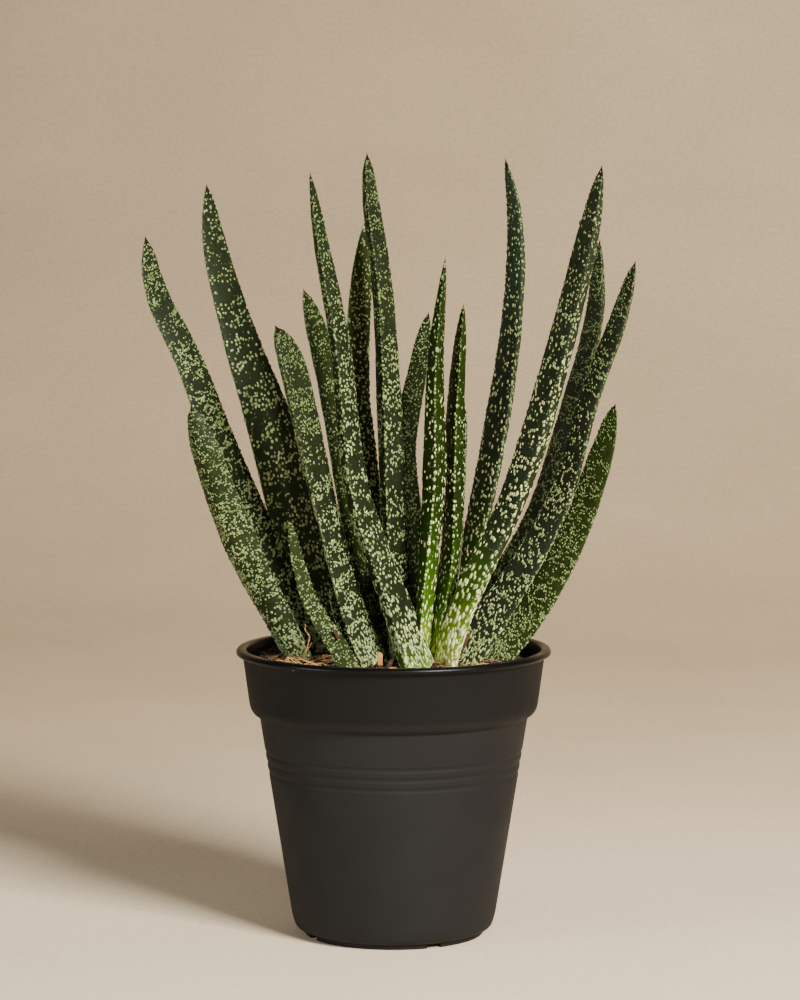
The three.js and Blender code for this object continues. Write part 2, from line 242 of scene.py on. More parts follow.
def make_stage():
    """A sheet of paper: a floor that bends up into a wall."""
    bend_start = WALL_PLACE - BEND
    bm = bmesh.new()
    corner = bm.verts.new((-HALF_WIDTH, bend_start, 0))
    bm.edges.new((bm.verts.new((-HALF_WIDTH, FRONT, 0)), corner))
    bmesh.ops.spin(bm, geom=[corner], cent=(0, bend_start, BEND), axis=(1, 0, 0),
                   angle=math.pi / 2, steps=16)
    top = max(bm.verts, key=lambda v: v.co.z)
    bm.edges.new((top, bm.verts.new((-HALF_WIDTH, WALL_PLACE, WALL_HEIGHT))))
    made = bmesh.ops.extrude_edge_only(bm, edges=list(bm.edges))
    moved = [v for v in made["geom"] if isinstance(v, bmesh.types.BMVert)]
    bmesh.ops.translate(bm, verts=moved, vec=(2 * HALF_WIDTH, 0, 0))
    mesh = as_mesh("backdrop", bm)
    mesh.materials.append(PAPER)
    mesh.shade_smooth()
    stage = placed("backdrop", mesh)
    return stage


stage = make_stage()
print("backdrop faces:", len(stage.data.polygons))

# %% [markdown]
# ## Lights
# One soft light at the right and a little in front does most of the work, like a window, so the
# shadow falls to the left on the floor. A dim cool one from the left and a weak one beside the
# camera keep the shaded flanks of the leaves readable, and one high up at the back draws a faint
# line on the upper edges. The sky is cool where it lights the plant.

# %% Lights
LIGHT_AIM = Vector((0, 0, 0.13))
SKY, DUSK, SKY_STRENGTH = (0.74, 0.88, 1.0, 1), (0.92, 0.76, 0.6, 1), 0.058


def soft_light(name, turn, rise, distance, size, power, colour):
    """A square light turned this many degrees from the front towards the right, and raised."""
    lamp = bpy.data.lights.new(name, "AREA")
    lamp.size = size
    lamp.energy = power
    lamp.color = colour
    holder = placed(name, lamp)
    turn, rise = math.radians(turn), math.radians(rise)
    level = math.cos(rise)
    towards = Vector((math.sin(turn) * level, -math.cos(turn) * level, math.sin(rise)))
    holder.location = LIGHT_AIM + towards * distance
    holder.rotation_euler = towards.to_track_quat("Z", "Y").to_euler()


soft_light("key", 35, 28, 1.7, 0.56, 88, (1.0, 0.98, 0.95))
soft_light("fill", -60, 7, 1.5, 0.6, 13.0, (0.84, 0.93, 1.0))
soft_light("front", -8, 14, 1.55, 0.8, 4.5, (0.95, 0.98, 1.0))
soft_light("top", 150, 66, 1.9, 1.4, 3.0, (0.9, 0.95, 1.0))
world = bpy.data.worlds.new("studio")
world.use_nodes = True
tree = world.node_tree
sky = tree.nodes["Background"].inputs
# Past the paper's edge the sky itself is seen as a warm dusk.
looked_at = add(tree, "ShaderNodeLightPath").outputs["Is Camera Ray"]
tree.links.new(mix(tree, looked_at, SKY, DUSK), sky["Color"])
sky["Strength"].default_value = SKY_STRENGTH
bpy.context.scene.world = world

# %% [markdown]
# ## Finishes
# Each finish is built on Object coordinates, so its pattern sits still on the piece and keeps its
# real size. The pot is matt charcoal plastic with a fine moulded grain and a little dust.
# Soil, bark and roots are dry and rough. The leaf skin comes later, with the leaves, because it
# follows their length.

# %% Pot plastic
COLLAR_START, LIP_START = (0.085, 0.09), (0.106, 0.108)
# The collar and lip colours are painted shade, darker than the plastic.
COLLAR_PAINTED_SHADE, LIP_PAINTED_SHADE = (0.0052, 0.005, 0.0047, 1), (0.0025, 0.0024, 0.0022, 1)
DUST = (0.3, 0.27, 0.23, 1)
SPECK_SIZE, SPECK_SHARE = (0.085, 0.045), (0.86, 0.88)


def pot_plastic():
    finish, tree, shader = new_finish("charcoal_plastic", {"IOR": 1.2})
    place = object_place(tree)
    cloud = grain(tree, place, 25, 3.0)
    stops = [(0.3, (0.0095, 0.0091, 0.0087)), (0.7, (0.0120, 0.0116, 0.0111))]
    plastic = ramp(tree, cloud, stops)
    # The collar and the lip are painted darker than the body: a painted shadow of the lip on the collar,
    # and painted shade on and inside the lip.
    height = where(tree, place)["Z"]
    plastic = mix(tree, remap(tree, height, *COLLAR_START), plastic, COLLAR_PAINTED_SHADE)
    plastic = mix(tree, remap(tree, height, *LIP_START), plastic, LIP_PAINTED_SHADE)
    # A few specks of dust: only some cells of a coarse cell pattern carry one.
    cells = add(tree, "ShaderNodeTexVoronoi", {"Vector": place, "Scale": 110.0})
    near = remap(tree, cells.outputs["Distance"], *SPECK_SIZE)
    chosen = add(tree, "ShaderNodeSeparateColor", {"Color": cells.outputs["Color"]}).outputs[0]
    speck = calculate(tree, "MULTIPLY", near, remap(tree, chosen, *SPECK_SHARE))
    dusty = mix(tree, calculate(tree, "MULTIPLY", speck, 0.8), plastic, DUST)
    tree.links.new(dusty, shader.inputs["Base Color"])
    wear = grain(tree, place, 60, 4.0)
    rubbed = remap(tree, height, *LIP_START, 0.0, -0.34)
    rough = calculate(tree, "ADD", remap(tree, wear, 0.3, 0.7, 0.6, 0.7), rubbed)
    tree.links.new(rough, shader.inputs["Roughness"])
    bumped(tree, shader, grain(tree, place, 2600, 2.0), 0.12, 0.0002)
    return finish


POT_PLASTIC = pot_plastic()
print("pot plastic nodes:", len(POT_PLASTIC.node_tree.nodes))


# %% Peat, bark and root
def peat():
    """Loose peat: nearly black, with redder and greyer lumps."""
    finish, tree, shader = new_finish("dark_peat", {"Roughness": 0.95, "Specular IOR Level": 0.25})
    place = object_place(tree)
    lumps = grain(tree, place, 420, 5.0, 0.7)
    stops = [
        (0.30, (0.006, 0.0035, 0.002)),
        (0.50, (0.022, 0.012, 0.0065)),
        (0.66, (0.055, 0.028, 0.014)),
        (0.80, (0.12, 0.062, 0.03)),
    ]
    tree.links.new(ramp(tree, lumps, stops), shader.inputs["Base Color"])
    bumped(tree, shader, grain(tree, place, 1500, 4.0, 0.7), 0.8, 0.0006)
    return finish


def dry_fibre(name, dark, light):
    """Dry bark, straw or root: streaky between two colours."""
    finish, tree, shader = new_finish(name, {"Roughness": 0.82, "Specular IOR Level": 0.3})
    streaks = grain(tree, object_place(tree), 900, 4.0, 0.65)
    tree.links.new(ramp(tree, streaks, [(0.32, dark), (0.7, light)]), shader.inputs["Base Color"])
    bumped(tree, shader, grain(tree, object_place(tree), 2250, 2.0), 0.5, 0.0002)
    return finish


PEAT = peat()
BARK = dry_fibre("bark", (0.26, 0.09, 0.018), (0.62, 0.29, 0.075))
BROWN_BARK = dry_fibre("brown_bark", (0.018, 0.008, 0.004), (0.085, 0.036, 0.015))
ROOT = dry_fibre("dry_root", (0.20, 0.085, 0.025), (0.62, 0.35, 0.125))
print("finishes:", len(bpy.data.materials))

# %% [markdown]
# ## Helpers for shapes
# Three ways of making things cover the whole plant. A profile that turns round the pot's axis is a
# short chain of points, with its corners rounded by a bevel, then spun. Anything long, such as a
# leaf or a root, is a cylinder whose rings are led along a curve. Anything small that comes in
# hundreds, such as a spot or a crumb, is a stamp: one small mesh that is copied to many places.

# %% Pieces and turned shapes
def finished(name, bm, finish, smooth=True):
    """Turns a bmesh into a piece that rides with the pot."""
    mesh = as_mesh(name, bm)
    if smooth:
        mesh.shade_smooth()
    mesh.materials.append(finish)
    piece = placed(name, mesh)
    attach(piece, "root")
    return piece


def turned(profile, steps):
    """Spins a profile about Z, in millimetres. Its corners are (radius, height, rounding)."""
    bm = bmesh.new()
    verts = [bm.verts.new((radius, 0, height)) for radius, height, _ in profile]
    for pair in zip(verts, verts[1:]):
        bm.edges.new(pair)
    for vert, (_, _, width) in zip(verts, profile):
        if width:
            bmesh.ops.bevel(bm, geom=[vert], offset=width, offset_type="OFFSET", affect="VERTICES",
                            segments=4, profile=0.5, material=-1)
    bmesh.ops.spin(bm, geom=list(bm.verts) + list(bm.edges), cent=(0, 0, 0), axis=(0, 0, 1),
                   angle=2 * math.pi, steps=steps, use_merge=True)
    bmesh.ops.remove_doubles(bm, verts=bm.verts, dist=1e-4)
    bmesh.ops.dissolve_degenerate(bm, edges=bm.edges, dist=1e-5)
    bmesh.ops.scale(bm, vec=(MM, MM, MM), verts=bm.verts)
    return bm


test = turned([(0, 0, 0), (10, 0, 1), (10, 5, 0)], 12)
print("faces of a small turned cup:", len(test.faces))
test.free()


# %% A cylinder led along a curve
def led_cylinder(sides, rings, place_of):
    """A closed cylinder whose points go where place_of(turn, along, spread) says.

    turn runs from 0 to 1 round it, along from 0 to 1 up it, and spread is 0 only at the middle of
    each end. Its UV map holds turn and along."""
    bm = bmesh.new()
    bmesh.ops.create_cone(bm, cap_ends=True, cap_tris=True, segments=sides, radius1=1, radius2=1, depth=1)
    upright = [e for e in bm.edges if abs(e.verts[0].co.z - e.verts[1].co.z) > 0.5]
    bmesh.ops.subdivide_edges(bm, edges=upright, cuts=rings - 1, use_grid_fill=True)
    uv = bm.loops.layers.uv.new(BAKE_MAP)
    for face in bm.faces:
        centre = face.calc_center_median()
        middle = math.atan2(centre.y, centre.x) / (2 * math.pi) % 1
        for loop in face.loops:
            co = loop.vert.co
            turn = middle
            if co.xy.length > 0.5:
                turn = math.atan2(co.y, co.x) / (2 * math.pi)
                turn += round(middle - turn)
            loop[uv].uv = (turn, min(max(co.z + 0.5, 0.002 * co.xy.length), 1 - 0.002 * co.xy.length))
    for vert in bm.verts:
        turn = math.atan2(vert.co.y, vert.co.x) / (2 * math.pi) % 1
        spread = 1.0 if vert.co.xy.length > 0.5 else 0.0
        vert.co = place_of(turn, vert.co.z + 0.5, spread)
    return bm


test = led_cylinder(6, 3, lambda turn, along, spread: (spread * turn, 0, along))
print("faces of a small cylinder:", len(test.faces))
test.free()


# %% Smooth curves and strands
def with_ends(rows):
    """Adds a row beyond each end, so that a smooth curve can start and stop at the real ones."""
    return np.concatenate([2 * rows[:1] - rows[1:2], rows, 2 * rows[-1:] - rows[-2:-1]])


def between(a, b, c, d, t):
    """A point t of the way from b to c, on the smooth curve that passes a, b, c and d."""
    return 0.5 * (2 * b + (c - a) * t + (2 * a - 5 * b + 4 * c - d) * t * t
                  + (3 * b - a - 3 * c + d) * t ** 3)


def curve_through(points):
    """A smooth curve through the points: a function from 0..1 to a place."""
    knots = with_ends(np.array([tuple(p) for p in points], dtype=float))
    spans = len(knots) - 3

    def at(share):
        span = min(int(share * spans), spans - 1)
        return Vector(between(*knots[span:span + 4], share * spans - span))

    return at


def stand_on(curve, along, step, guide):
    """A place on the curve, the direction square to the curve and the guide, and the third one."""
    ahead = curve(min(along + step, 1)) - curve(max(along - step, 0))
    side = ahead.cross(guide).normalized()
    return curve(along), side, side.cross(ahead).normalized()


def strand(points, radius, taper=0.5, sides=6, rings=12):
    """A round root or fibre along a curve, thinner towards its end."""
    curve = curve_through(points)

    def place_of(turn, along, spread):
        here, side, other = stand_on(curve, along, 0.02, (0.3, 0.2, 1))
        size = radius * (1 - taper * along) * spread
        angle = 2 * math.pi * turn
        return here + side * (size * math.cos(angle)) + other * (size * math.sin(angle))

    return led_cylinder(sides, rings, place_of)


print("middle of a small curve:", tuple(curve_through([(0, 0, 0), (1, 0, 1), (2, 0, 0)])(0.5)))


# %% Stamps
def stamped(stamps):
    """One bmesh with a copy of a template at each (template, matrix)."""
    bm = bmesh.new()
    bm.loops.layers.uv.new(BAKE_MAP)
    for shape, place in stamps:
        copy = shape.copy()
        copy.transform(place)
        bm.from_mesh(copy)
        bpy.data.meshes.remove(copy)
    return bm


def standing(place, up, along, size):
    """A matrix that stands a template on a surface: its Z on up and its X along a direction."""
    up = Vector(up).normalized()
    across = up.cross(Vector(along)).normalized()
    forward = across.cross(up)
    turn = Matrix((forward, across, up)).transposed().to_4x4()
    return Matrix.Translation(place) @ turn @ Matrix.Diagonal((*size, 1))


print("a stamp standing upright isn't turned:", standing((0, 0, 0), (0, 0, 1), (1, 0, 0), (1, 1, 1)))

# %% [markdown]
# ## The pot
# A nursery pot is moulded in one shot of polypropylene: a thin wall with a rolled lip, a collar
# that lets pots stack, three grooves that stiffen the body, and a foot ring. The profile holds one
# point for each corner, and the spin turns it. The drain channels and holes are cut last.

# %% The pot's outline
WALL = 1.4
LIP_HEIGHT = 2.4
POT_HEIGHT = pot_high[2] / MM
RIM = pot_high[0] / MM
COLLAR_TOP, COLLAR_FOOT = (57.6, POT_HEIGHT - LIP_HEIGHT), (55.0, 88.0)
BODY_TOP, BODY_FOOT = (51.2, 84.0), (38.9, 7.0)
FOOT_RADIUS, FOOT_HEIGHT, BASE_PLATE = 34.2, 1.8, 2.6
FOOT_STEP, COLLAR_SLOPE, COLLAR_EDGE = (37.4, 0.9), (0.9, 2.3), 0.5
RING_TOP, RING_PITCH, RING_COUNT, RING_WIDTH, RING_DEPTH = 70.5, 3.9, 3, 2.1, 0.27


def body_radius(height):
    share = (height - BODY_FOOT[1]) / (BODY_TOP[1] - BODY_FOOT[1])
    return BODY_FOOT[0] + share * (BODY_TOP[0] - BODY_FOOT[0])


def pot_profile():
    """The outline from the middle of the underside, up the outside, over the lip and down inside."""
    points = [
        (0, 0, 0),
        (FOOT_RADIUS, 0, 0.5),
        (FOOT_RADIUS, FOOT_HEIGHT, 0.4),
        (FOOT_STEP[0], FOOT_HEIGHT + FOOT_STEP[1], 1.6),
        (*BODY_FOOT, 2.2),
    ]
    for i in range(RING_COUNT - 1, -1, -1):
        height = RING_TOP - i * RING_PITCH
        for step, depth in ((-0.5, 0), (-0.2, RING_DEPTH), (0.2, RING_DEPTH), (0.5, 0)):
            level = height + step * RING_WIDTH
            points.append((body_radius(level) - depth, level, 0.3))
    return points + [
        (*BODY_TOP, 0.4),
        (COLLAR_FOOT[0] - COLLAR_SLOPE[0], COLLAR_FOOT[1] - COLLAR_SLOPE[1], 1.5),
        (COLLAR_FOOT[0], COLLAR_FOOT[1] + COLLAR_EDGE, 1.3),
        (*COLLAR_TOP, 0.4),
        (RIM, POT_HEIGHT - LIP_HEIGHT, 0.8),
        (RIM, POT_HEIGHT, 1.3),
        (COLLAR_TOP[0] - WALL, POT_HEIGHT, 1.0),
        (COLLAR_FOOT[0] - WALL, COLLAR_FOOT[1], 0),
        (BODY_TOP[0] - WALL, BODY_TOP[1], 0),
        (BODY_FOOT[0] - WALL, BODY_FOOT[1], 0),
        (FOOT_RADIUS, BASE_PLATE, 0),
        (0, BASE_PLATE, 0),
    ]


print("corners in the outline:", len(pot_profile()))

# %% Turn the pot and cut its drains
DRAIN_COUNT, DRAIN_TURN, DRAIN_RADIUS, DRAIN_CIRCLE = 4, math.radians(-63.5), 4.0, 24.0
CHANNEL_WIDTH, CHANNEL_DEPTH, CHANNEL_START = 5.7, 1.6, 15.0


def drain_cutters():
    """Two cutters: the channels that run out under the foot ring, and the holes through the base."""
    reach = BODY_FOOT[0] + 2 - CHANNEL_START
    channels, holes = bmesh.new(), bmesh.new()
    for i in range(DRAIN_COUNT):
        turn = Matrix.Rotation(DRAIN_TURN + 2 * math.pi * i / DRAIN_COUNT, 4, "Z")
        channel = Matrix.Diagonal((reach, CHANNEL_WIDTH, 2 * CHANNEL_DEPTH, 1))
        place = turn @ Matrix.Translation((CHANNEL_START + reach / 2, 0, 0)) @ channel
        bmesh.ops.create_cube(channels, size=1, matrix=place)
        place = turn @ Matrix.Translation((DRAIN_CIRCLE, 0, 0))
        bmesh.ops.create_cone(holes, cap_ends=True, segments=32, radius1=DRAIN_RADIUS,
                              radius2=DRAIN_RADIUS, depth=4 * BASE_PLATE, matrix=place)
    cutters = []
    for bm in (channels, holes):
        bmesh.ops.scale(bm, vec=(MM, MM, MM), verts=bm.verts)
        cutters.append(placed("drain_cutter", as_mesh("drain_cutter", bm)))
    return cutters


def apply_modifiers(piece):
    """Puts the mesh that the modifiers give in place of the piece's own."""
    shown = piece.evaluated_get(bpy.context.evaluated_depsgraph_get())
    old = piece.data
    piece.data = bpy.data.meshes.new_from_object(shown)
    piece.modifiers.clear()
    bpy.data.meshes.remove(old)


def make_pot():
    pot = finished("nursery_pot", turned(pot_profile(), 192), POT_PLASTIC)
    for cutter in drain_cutters():
        cut = pot.modifiers.new("drain", "BOOLEAN")
        cut.operation = "DIFFERENCE"
        cut.solver = "EXACT"
        cut.object = cutter
        apply_modifiers(pot)
        bpy.data.meshes.remove(cutter.data)
    pot.data.set_sharp_from_angle(angle=math.radians(40))
    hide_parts("pot")
    return pot


pot = make_pot()
print("pot faces:", len(pot.data.polygons), "size:", tuple(round(x, 4) for x in pot.dimensions))

# %% [markdown]
# ## Soil
# Potting peat is a mass of crumbs and fibres, so a smooth plug with a bump on it never looks right.
# The ground here is a spun plug with a lumpy top. On it lie thousands of crumbs, a few of them pale,
# and hundreds of short fibres, all stamped from a few small templates. The stamps take their colour
# from their own UV map: every template sits at one place across a strip of shades.

# %% The ground
GAP = 0.3  # the room between the peat and the pot, in millimetres
SOIL_RINGS = 64
SOIL_HEIGHT = 105.3
SOIL_TILT = 0.028
SOIL_CROWN = 0.6
SOIL_RADIUS = 0.0552


def soil_level(x, y):
    """Height of the peat's top at a place, in metres."""
    share = math.hypot(x, y) / SOIL_RADIUS
    crown = (SOIL_CROWN if share < 0.2 else SOIL_CROWN * max(1 - share, 0) / 0.8) * MM
    lumps = noise.fractal(Vector((x, y, 0.3)) * 110, 1.0, 2.0, 4) * 1.1 * MM
    return SOIL_HEIGHT * MM - SOIL_TILT * x + crown + lumps - (0.3 + 0.8 * share ** 6) * MM


def make_ground():
    points = [(0, BASE_PLATE + GAP, 0), (FOOT_RADIUS - GAP, BASE_PLATE + GAP, 0)]
    for radius, height in (BODY_FOOT, BODY_TOP, COLLAR_FOOT):
        points.append((radius - (WALL + GAP), height + GAP, 0))
    for i in range(SOIL_RINGS, -1, -1):
        points.append((SOIL_RADIUS / MM * i / SOIL_RINGS, SOIL_HEIGHT, 0))
    bm = turned(points, 200)
    for vert in bm.verts:
        if vert.co.z > (SOIL_HEIGHT - 0.1) * MM:
            vert.co.z = soil_level(vert.co.x, vert.co.y)
    ground = finished("peat_ground", bm, PEAT)
    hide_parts("soil")
    return ground


ground = make_ground()
print("ground faces:", len(ground.data.polygons))


# %% Crumb and fibre templates
def paint(bm, shade):
    """Puts a template at one place across the strip of shades; its height runs up the strip."""
    uv = bm.loops.layers.uv.get(BAKE_MAP) or bm.loops.layers.uv.new(BAKE_MAP)
    top = max(abs(v.co.z) for v in bm.verts)
    for face in bm.faces:
        for loop in face.loops:
            loop[uv].uv = (shade, 0.5 + 0.45 * loop.vert.co.z / top)


def ball_template(shade, lumpy=0.0, number=0):
    """A ball of twenty faces. A crumb's is lumpy, and its number gives it a shape of its own."""
    bm = bmesh.new()
    bmesh.ops.create_icosphere(bm, subdivisions=1, radius=1)
    for vert in bm.verts:
        vert.co *= 1 + lumpy * noise.noise(vert.co * 1.3 + Vector((number * 3.7, 0, 0)))
    paint(bm, shade)
    return as_mesh("template", bm)


def fibre_template(shade, number):
    """A bent fibre one unit long, lying along X."""
    rng = random.Random(number)
    points = []
    for t in (0, 0.33, 0.66, 1):
        points.append((t - 0.5, rng.uniform(-0.16, 0.16), rng.uniform(-0.03, 0.09)))
    bm = strand(points, 0.022, 0.5, 4, 6)
    paint(bm, shade)
    return as_mesh("template", bm)


CRUMB_KINDS, FIBRE_KINDS = 12, 10
CRUMB_SHAPES = [ball_template((i + 0.5) / CRUMB_KINDS, 0.45, i) for i in range(CRUMB_KINDS)]
FIBRE_SHAPES = [fibre_template((i + 0.5) / FIBRE_KINDS, i) for i in range(FIBRE_KINDS)]
print("templates:", len(CRUMB_SHAPES), "crumbs,", len(FIBRE_SHAPES), "fibres")


# %% Strips of shades
def strip_finish(name, stops, roughness, rim=None):
    """A finish whose colour is read from the piece's own UV map, across a strip of shades."""
    finish, tree, shader = new_finish(name, {"Roughness": roughness})
    spot = own_map(tree)
    colour = ramp(tree, spot["X"], stops)
    if rim:
        colour = mix(tree, remap(tree, spot["Y"], *rim[1]), (*rim[0], 1), colour)
    tree.links.new(colour, shader.inputs["Base Color"])
    return finish


CRUMB_STRIP = strip_finish("crumb_strip", [
    (0.0, (0.008, 0.004, 0.003)),
    (0.3, (0.024, 0.009, 0.005)),
    (0.55, (0.06, 0.021, 0.01)),
    (0.8, (0.15, 0.06, 0.027)),
    (1.0, (0.62, 0.46, 0.38)),
], 0.95)
FIBRE_STRIP = strip_finish("fibre_strip", [
    (0.0, (0.05, 0.022, 0.01)),
    (0.5, (0.2, 0.085, 0.03)),
    (1.0, (0.55, 0.34, 0.15)),
], 0.85)
print("strips:", CRUMB_STRIP.name, FIBRE_STRIP.name)

# %% Crumbs and fibres on the ground
CRUMB_COUNT, CRUMB_REACH, PALE_SHARE = 3600, 0.0546, 0.012
FIBRE_COUNT, FIBRE_REACH = 420, 0.049


def scatter_on_soil(rng, count, reach):
    """Places on the peat inside the pot."""
    places = []
    while len(places) < count:
        x, y = rng.uniform(-reach, reach), rng.uniform(-reach, reach)
        if math.hypot(x, y) < reach:
            places.append((x, y, soil_level(x, y)))
    return places


def make_crumbs():
    """Most crumbs are small and of the darker kinds. The last kind is the pale one."""
    rng = random.Random(11)
    stamps = []
    for x, y, z in scatter_on_soil(rng, CRUMB_COUNT, CRUMB_REACH):
        size = 0.25 + 1.1 * rng.random() ** 3
        kind = min(int(abs(rng.gauss(0, 4.2))), 9) if rng.random() > PALE_SHARE else CRUMB_KINDS - 1
        turn = (rng.uniform(-1, 1), rng.uniform(-1, 1), rng.uniform(0.3, 1))
        scale = (size * MM, size * rng.uniform(0.6, 1) * MM, size * rng.uniform(0.5, 0.8) * MM)
        along = (rng.uniform(-1, 1), rng.uniform(-1, 1), 0)
        place = standing((x, y, z + 0.1 * size * MM), turn, along, scale)
        stamps.append((CRUMB_SHAPES[kind], place))
    return finished("peat_crumbs", stamped(stamps), CRUMB_STRIP, smooth=False)


def make_fibres():
    rng = random.Random(23)
    stamps = []
    for x, y, z in scatter_on_soil(rng, FIBRE_COUNT, FIBRE_REACH):
        length = rng.uniform(2.5, 9)
        up = (rng.uniform(-0.5, 0.5), rng.uniform(-0.5, 0.5), 1)
        along = (rng.uniform(-1, 1), rng.uniform(-1, 1), rng.uniform(-0.1, 0.1))
        scale = (length * MM, length * MM, length * MM * rng.uniform(0.6, 1.1))
        shape = rng.choice(FIBRE_SHAPES)
        stamps.append((shape, standing((x, y, z + 0.5 * MM), up, along, scale)))
    return finished("peat_fibres", stamped(stamps), FIBRE_STRIP)


crumbs = make_crumbs()
fibres = make_fibres()
print("crumbs:", len(crumbs.data.polygons), "fibres:", len(fibres.data.polygons))

# %% [markdown]
# ## Leaves
# A gasteria leaf is a thick strap: its upper face is nearly flat, its back is keeled, and it ends in
# a short dark point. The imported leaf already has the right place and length, with twelve points to
# each ring. This step reads those rings, draws smooth curves through them in both directions, and
# leads a fine cylinder along the result. Each ring is split at its two margins, which keeps them
# crisp where one closed curve would round them off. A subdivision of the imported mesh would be
# shorter, but it would shrink the leaf and blunt its keel. Slow noise takes away the evenness.

# %% Read the rings of a packed leaf
def ring_in_order(ring, ahead):
    """The ring's points, from one margin over the upper face to the other and back by the keel."""
    gaps = np.linalg.norm(ring[:, None] - ring[None], axis=2)
    one, other = np.unravel_index(gaps.argmax(), gaps.shape)
    middle = (ring[one] + ring[other]) / 2
    across = ring[one] - ring[other]
    outward = np.cross(ahead, across)
    heights = (ring - middle) @ outward
    if -heights.min() < heights.max():
        across, outward = -across, -outward
    across = across / np.linalg.norm(across)
    outward = outward / np.linalg.norm(outward)
    turn = np.arctan2((ring - middle) @ outward, (ring - middle) @ across)
    ring = ring[np.argsort(turn % (2 * math.pi))]
    return np.roll(ring, -((ring - middle) @ across).argmax(), axis=0)


def packed_rings(node):
    """A leaf's rings with the base first, and its tip as a last ring of no width."""
    bm = bmesh.new()
    bm.from_mesh(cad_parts[node].data)
    bmesh.ops.remove_doubles(bm, verts=bm.verts, dist=1e-6)
    front = [max(bm.verts, key=lambda v: v.co.z)]
    seen, levels = set(front), []
    while front:
        levels.insert(0, np.array([tuple(v.co) for v in front]))
        near = (e.other_vert(v) for v in front for e in v.link_edges)
        front = [v for v in dict.fromkeys(near) if v not in seen]
        seen.update(front)
    bm.free()
    levels = levels[1:] if len(levels[0]) == 1 else levels
    centres = [level.mean(axis=0) for level in levels]
    rings = []
    for i in range(len(levels) - 1):
        rings.append(ring_in_order(levels[i], centres[i + 1] - centres[max(i - 1, 0)]))
    return np.array([*rings, np.repeat(levels[-1], len(rings[0]), axis=0)])


print("rings and points of the first leaf:", packed_rings(LEAF_NODES[0]).shape[:2])

# %% Draw the rings out to a fine grid
STEPS_ALONG = 9
STEPS_ROUND = 4
TIP_SLIMNESS = 0.5
TIP_LENGTH = 0.0035


def smooth_rows(rows, steps):
    """Smooth curves through the rows, with this many steps in each gap."""
    rows = with_ends(rows)
    t = (np.arange(steps) / steps).reshape(-1, *[1] * (rows.ndim - 1))
    out = [between(*rows[i:i + 4], t) for i in range(len(rows) - 3)]
    return np.concatenate([*out, rows[-2:-1]])


def fine_grid(node):
    """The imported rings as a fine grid, with a row for each ring and a column for each side."""
    rows = smooth_rows(packed_rings(node), STEPS_ALONG).swapaxes(0, 1)
    half = len(rows) // 2
    over = smooth_rows(rows[:half + 1], STEPS_ROUND)
    under = smooth_rows(np.concatenate([rows[half:], rows[:1]]), STEPS_ROUND)
    grid = np.concatenate([over[:-1], under[:-1]]).swapaxes(0, 1)
    return 0.25 * np.roll(grid, 1, axis=1) + 0.5 * grid + 0.25 * np.roll(grid, -1, axis=1)


def shaped(grid, distance, flare, reach, lean):
    """Draws the tip thinner, and widens and leans the foot. distance is each row's, along the leaf."""
    centre = grid.mean(axis=1)
    left = np.clip((distance[-1] - distance) / TIP_LENGTH, 0, 1)
    slim = TIP_SLIMNESS + (1 - TIP_SLIMNESS) * left * left * (3 - 2 * left)
    grid = centre[:, None] + (grid - centre[:, None]) * slim[:, None, None]
    near_foot = np.clip(1 - distance / (reach * MM), 0, 1)[:, None, None] ** 1.3
    half = grid.shape[1] // 2
    across = grid[:, :1] - grid[:, half:half + 1]
    across = across / np.maximum(np.linalg.norm(across, axis=2, keepdims=True), 1e-9)
    spread = ((grid - centre[:, None]) * across).sum(axis=2, keepdims=True)
    return grid + across * spread * near_foot * (flare - 1) + near_foot * (lean * MM, 0, 0)


def normals_of(grid):
    along = np.gradient(grid, axis=0)
    round_ = np.roll(grid, -1, axis=1) - np.roll(grid, 1, axis=1)
    normal = np.cross(round_, along)
    return normal / np.maximum(np.linalg.norm(normal, axis=2, keepdims=True), 1e-12)


def roughened(grid, girth):
    """Presses the skin in and out a little, more where the leaf is wide."""
    normal = normals_of(grid)
    rough = grid.copy()
    for i, j in np.ndindex(grid.shape[:2]):
        place = Vector(grid[i, j]) * 1000
        dent = 0.22 * noise.noise(place * 0.11) + 0.10 * noise.noise(place * 0.4)
        rough[i, j] += normal[i, j] * dent * min(girth[i] / 0.02, 1) * MM
    return rough


print("grid of the first leaf:", fine_grid(LEAF_NODES[0]).shape[:2])


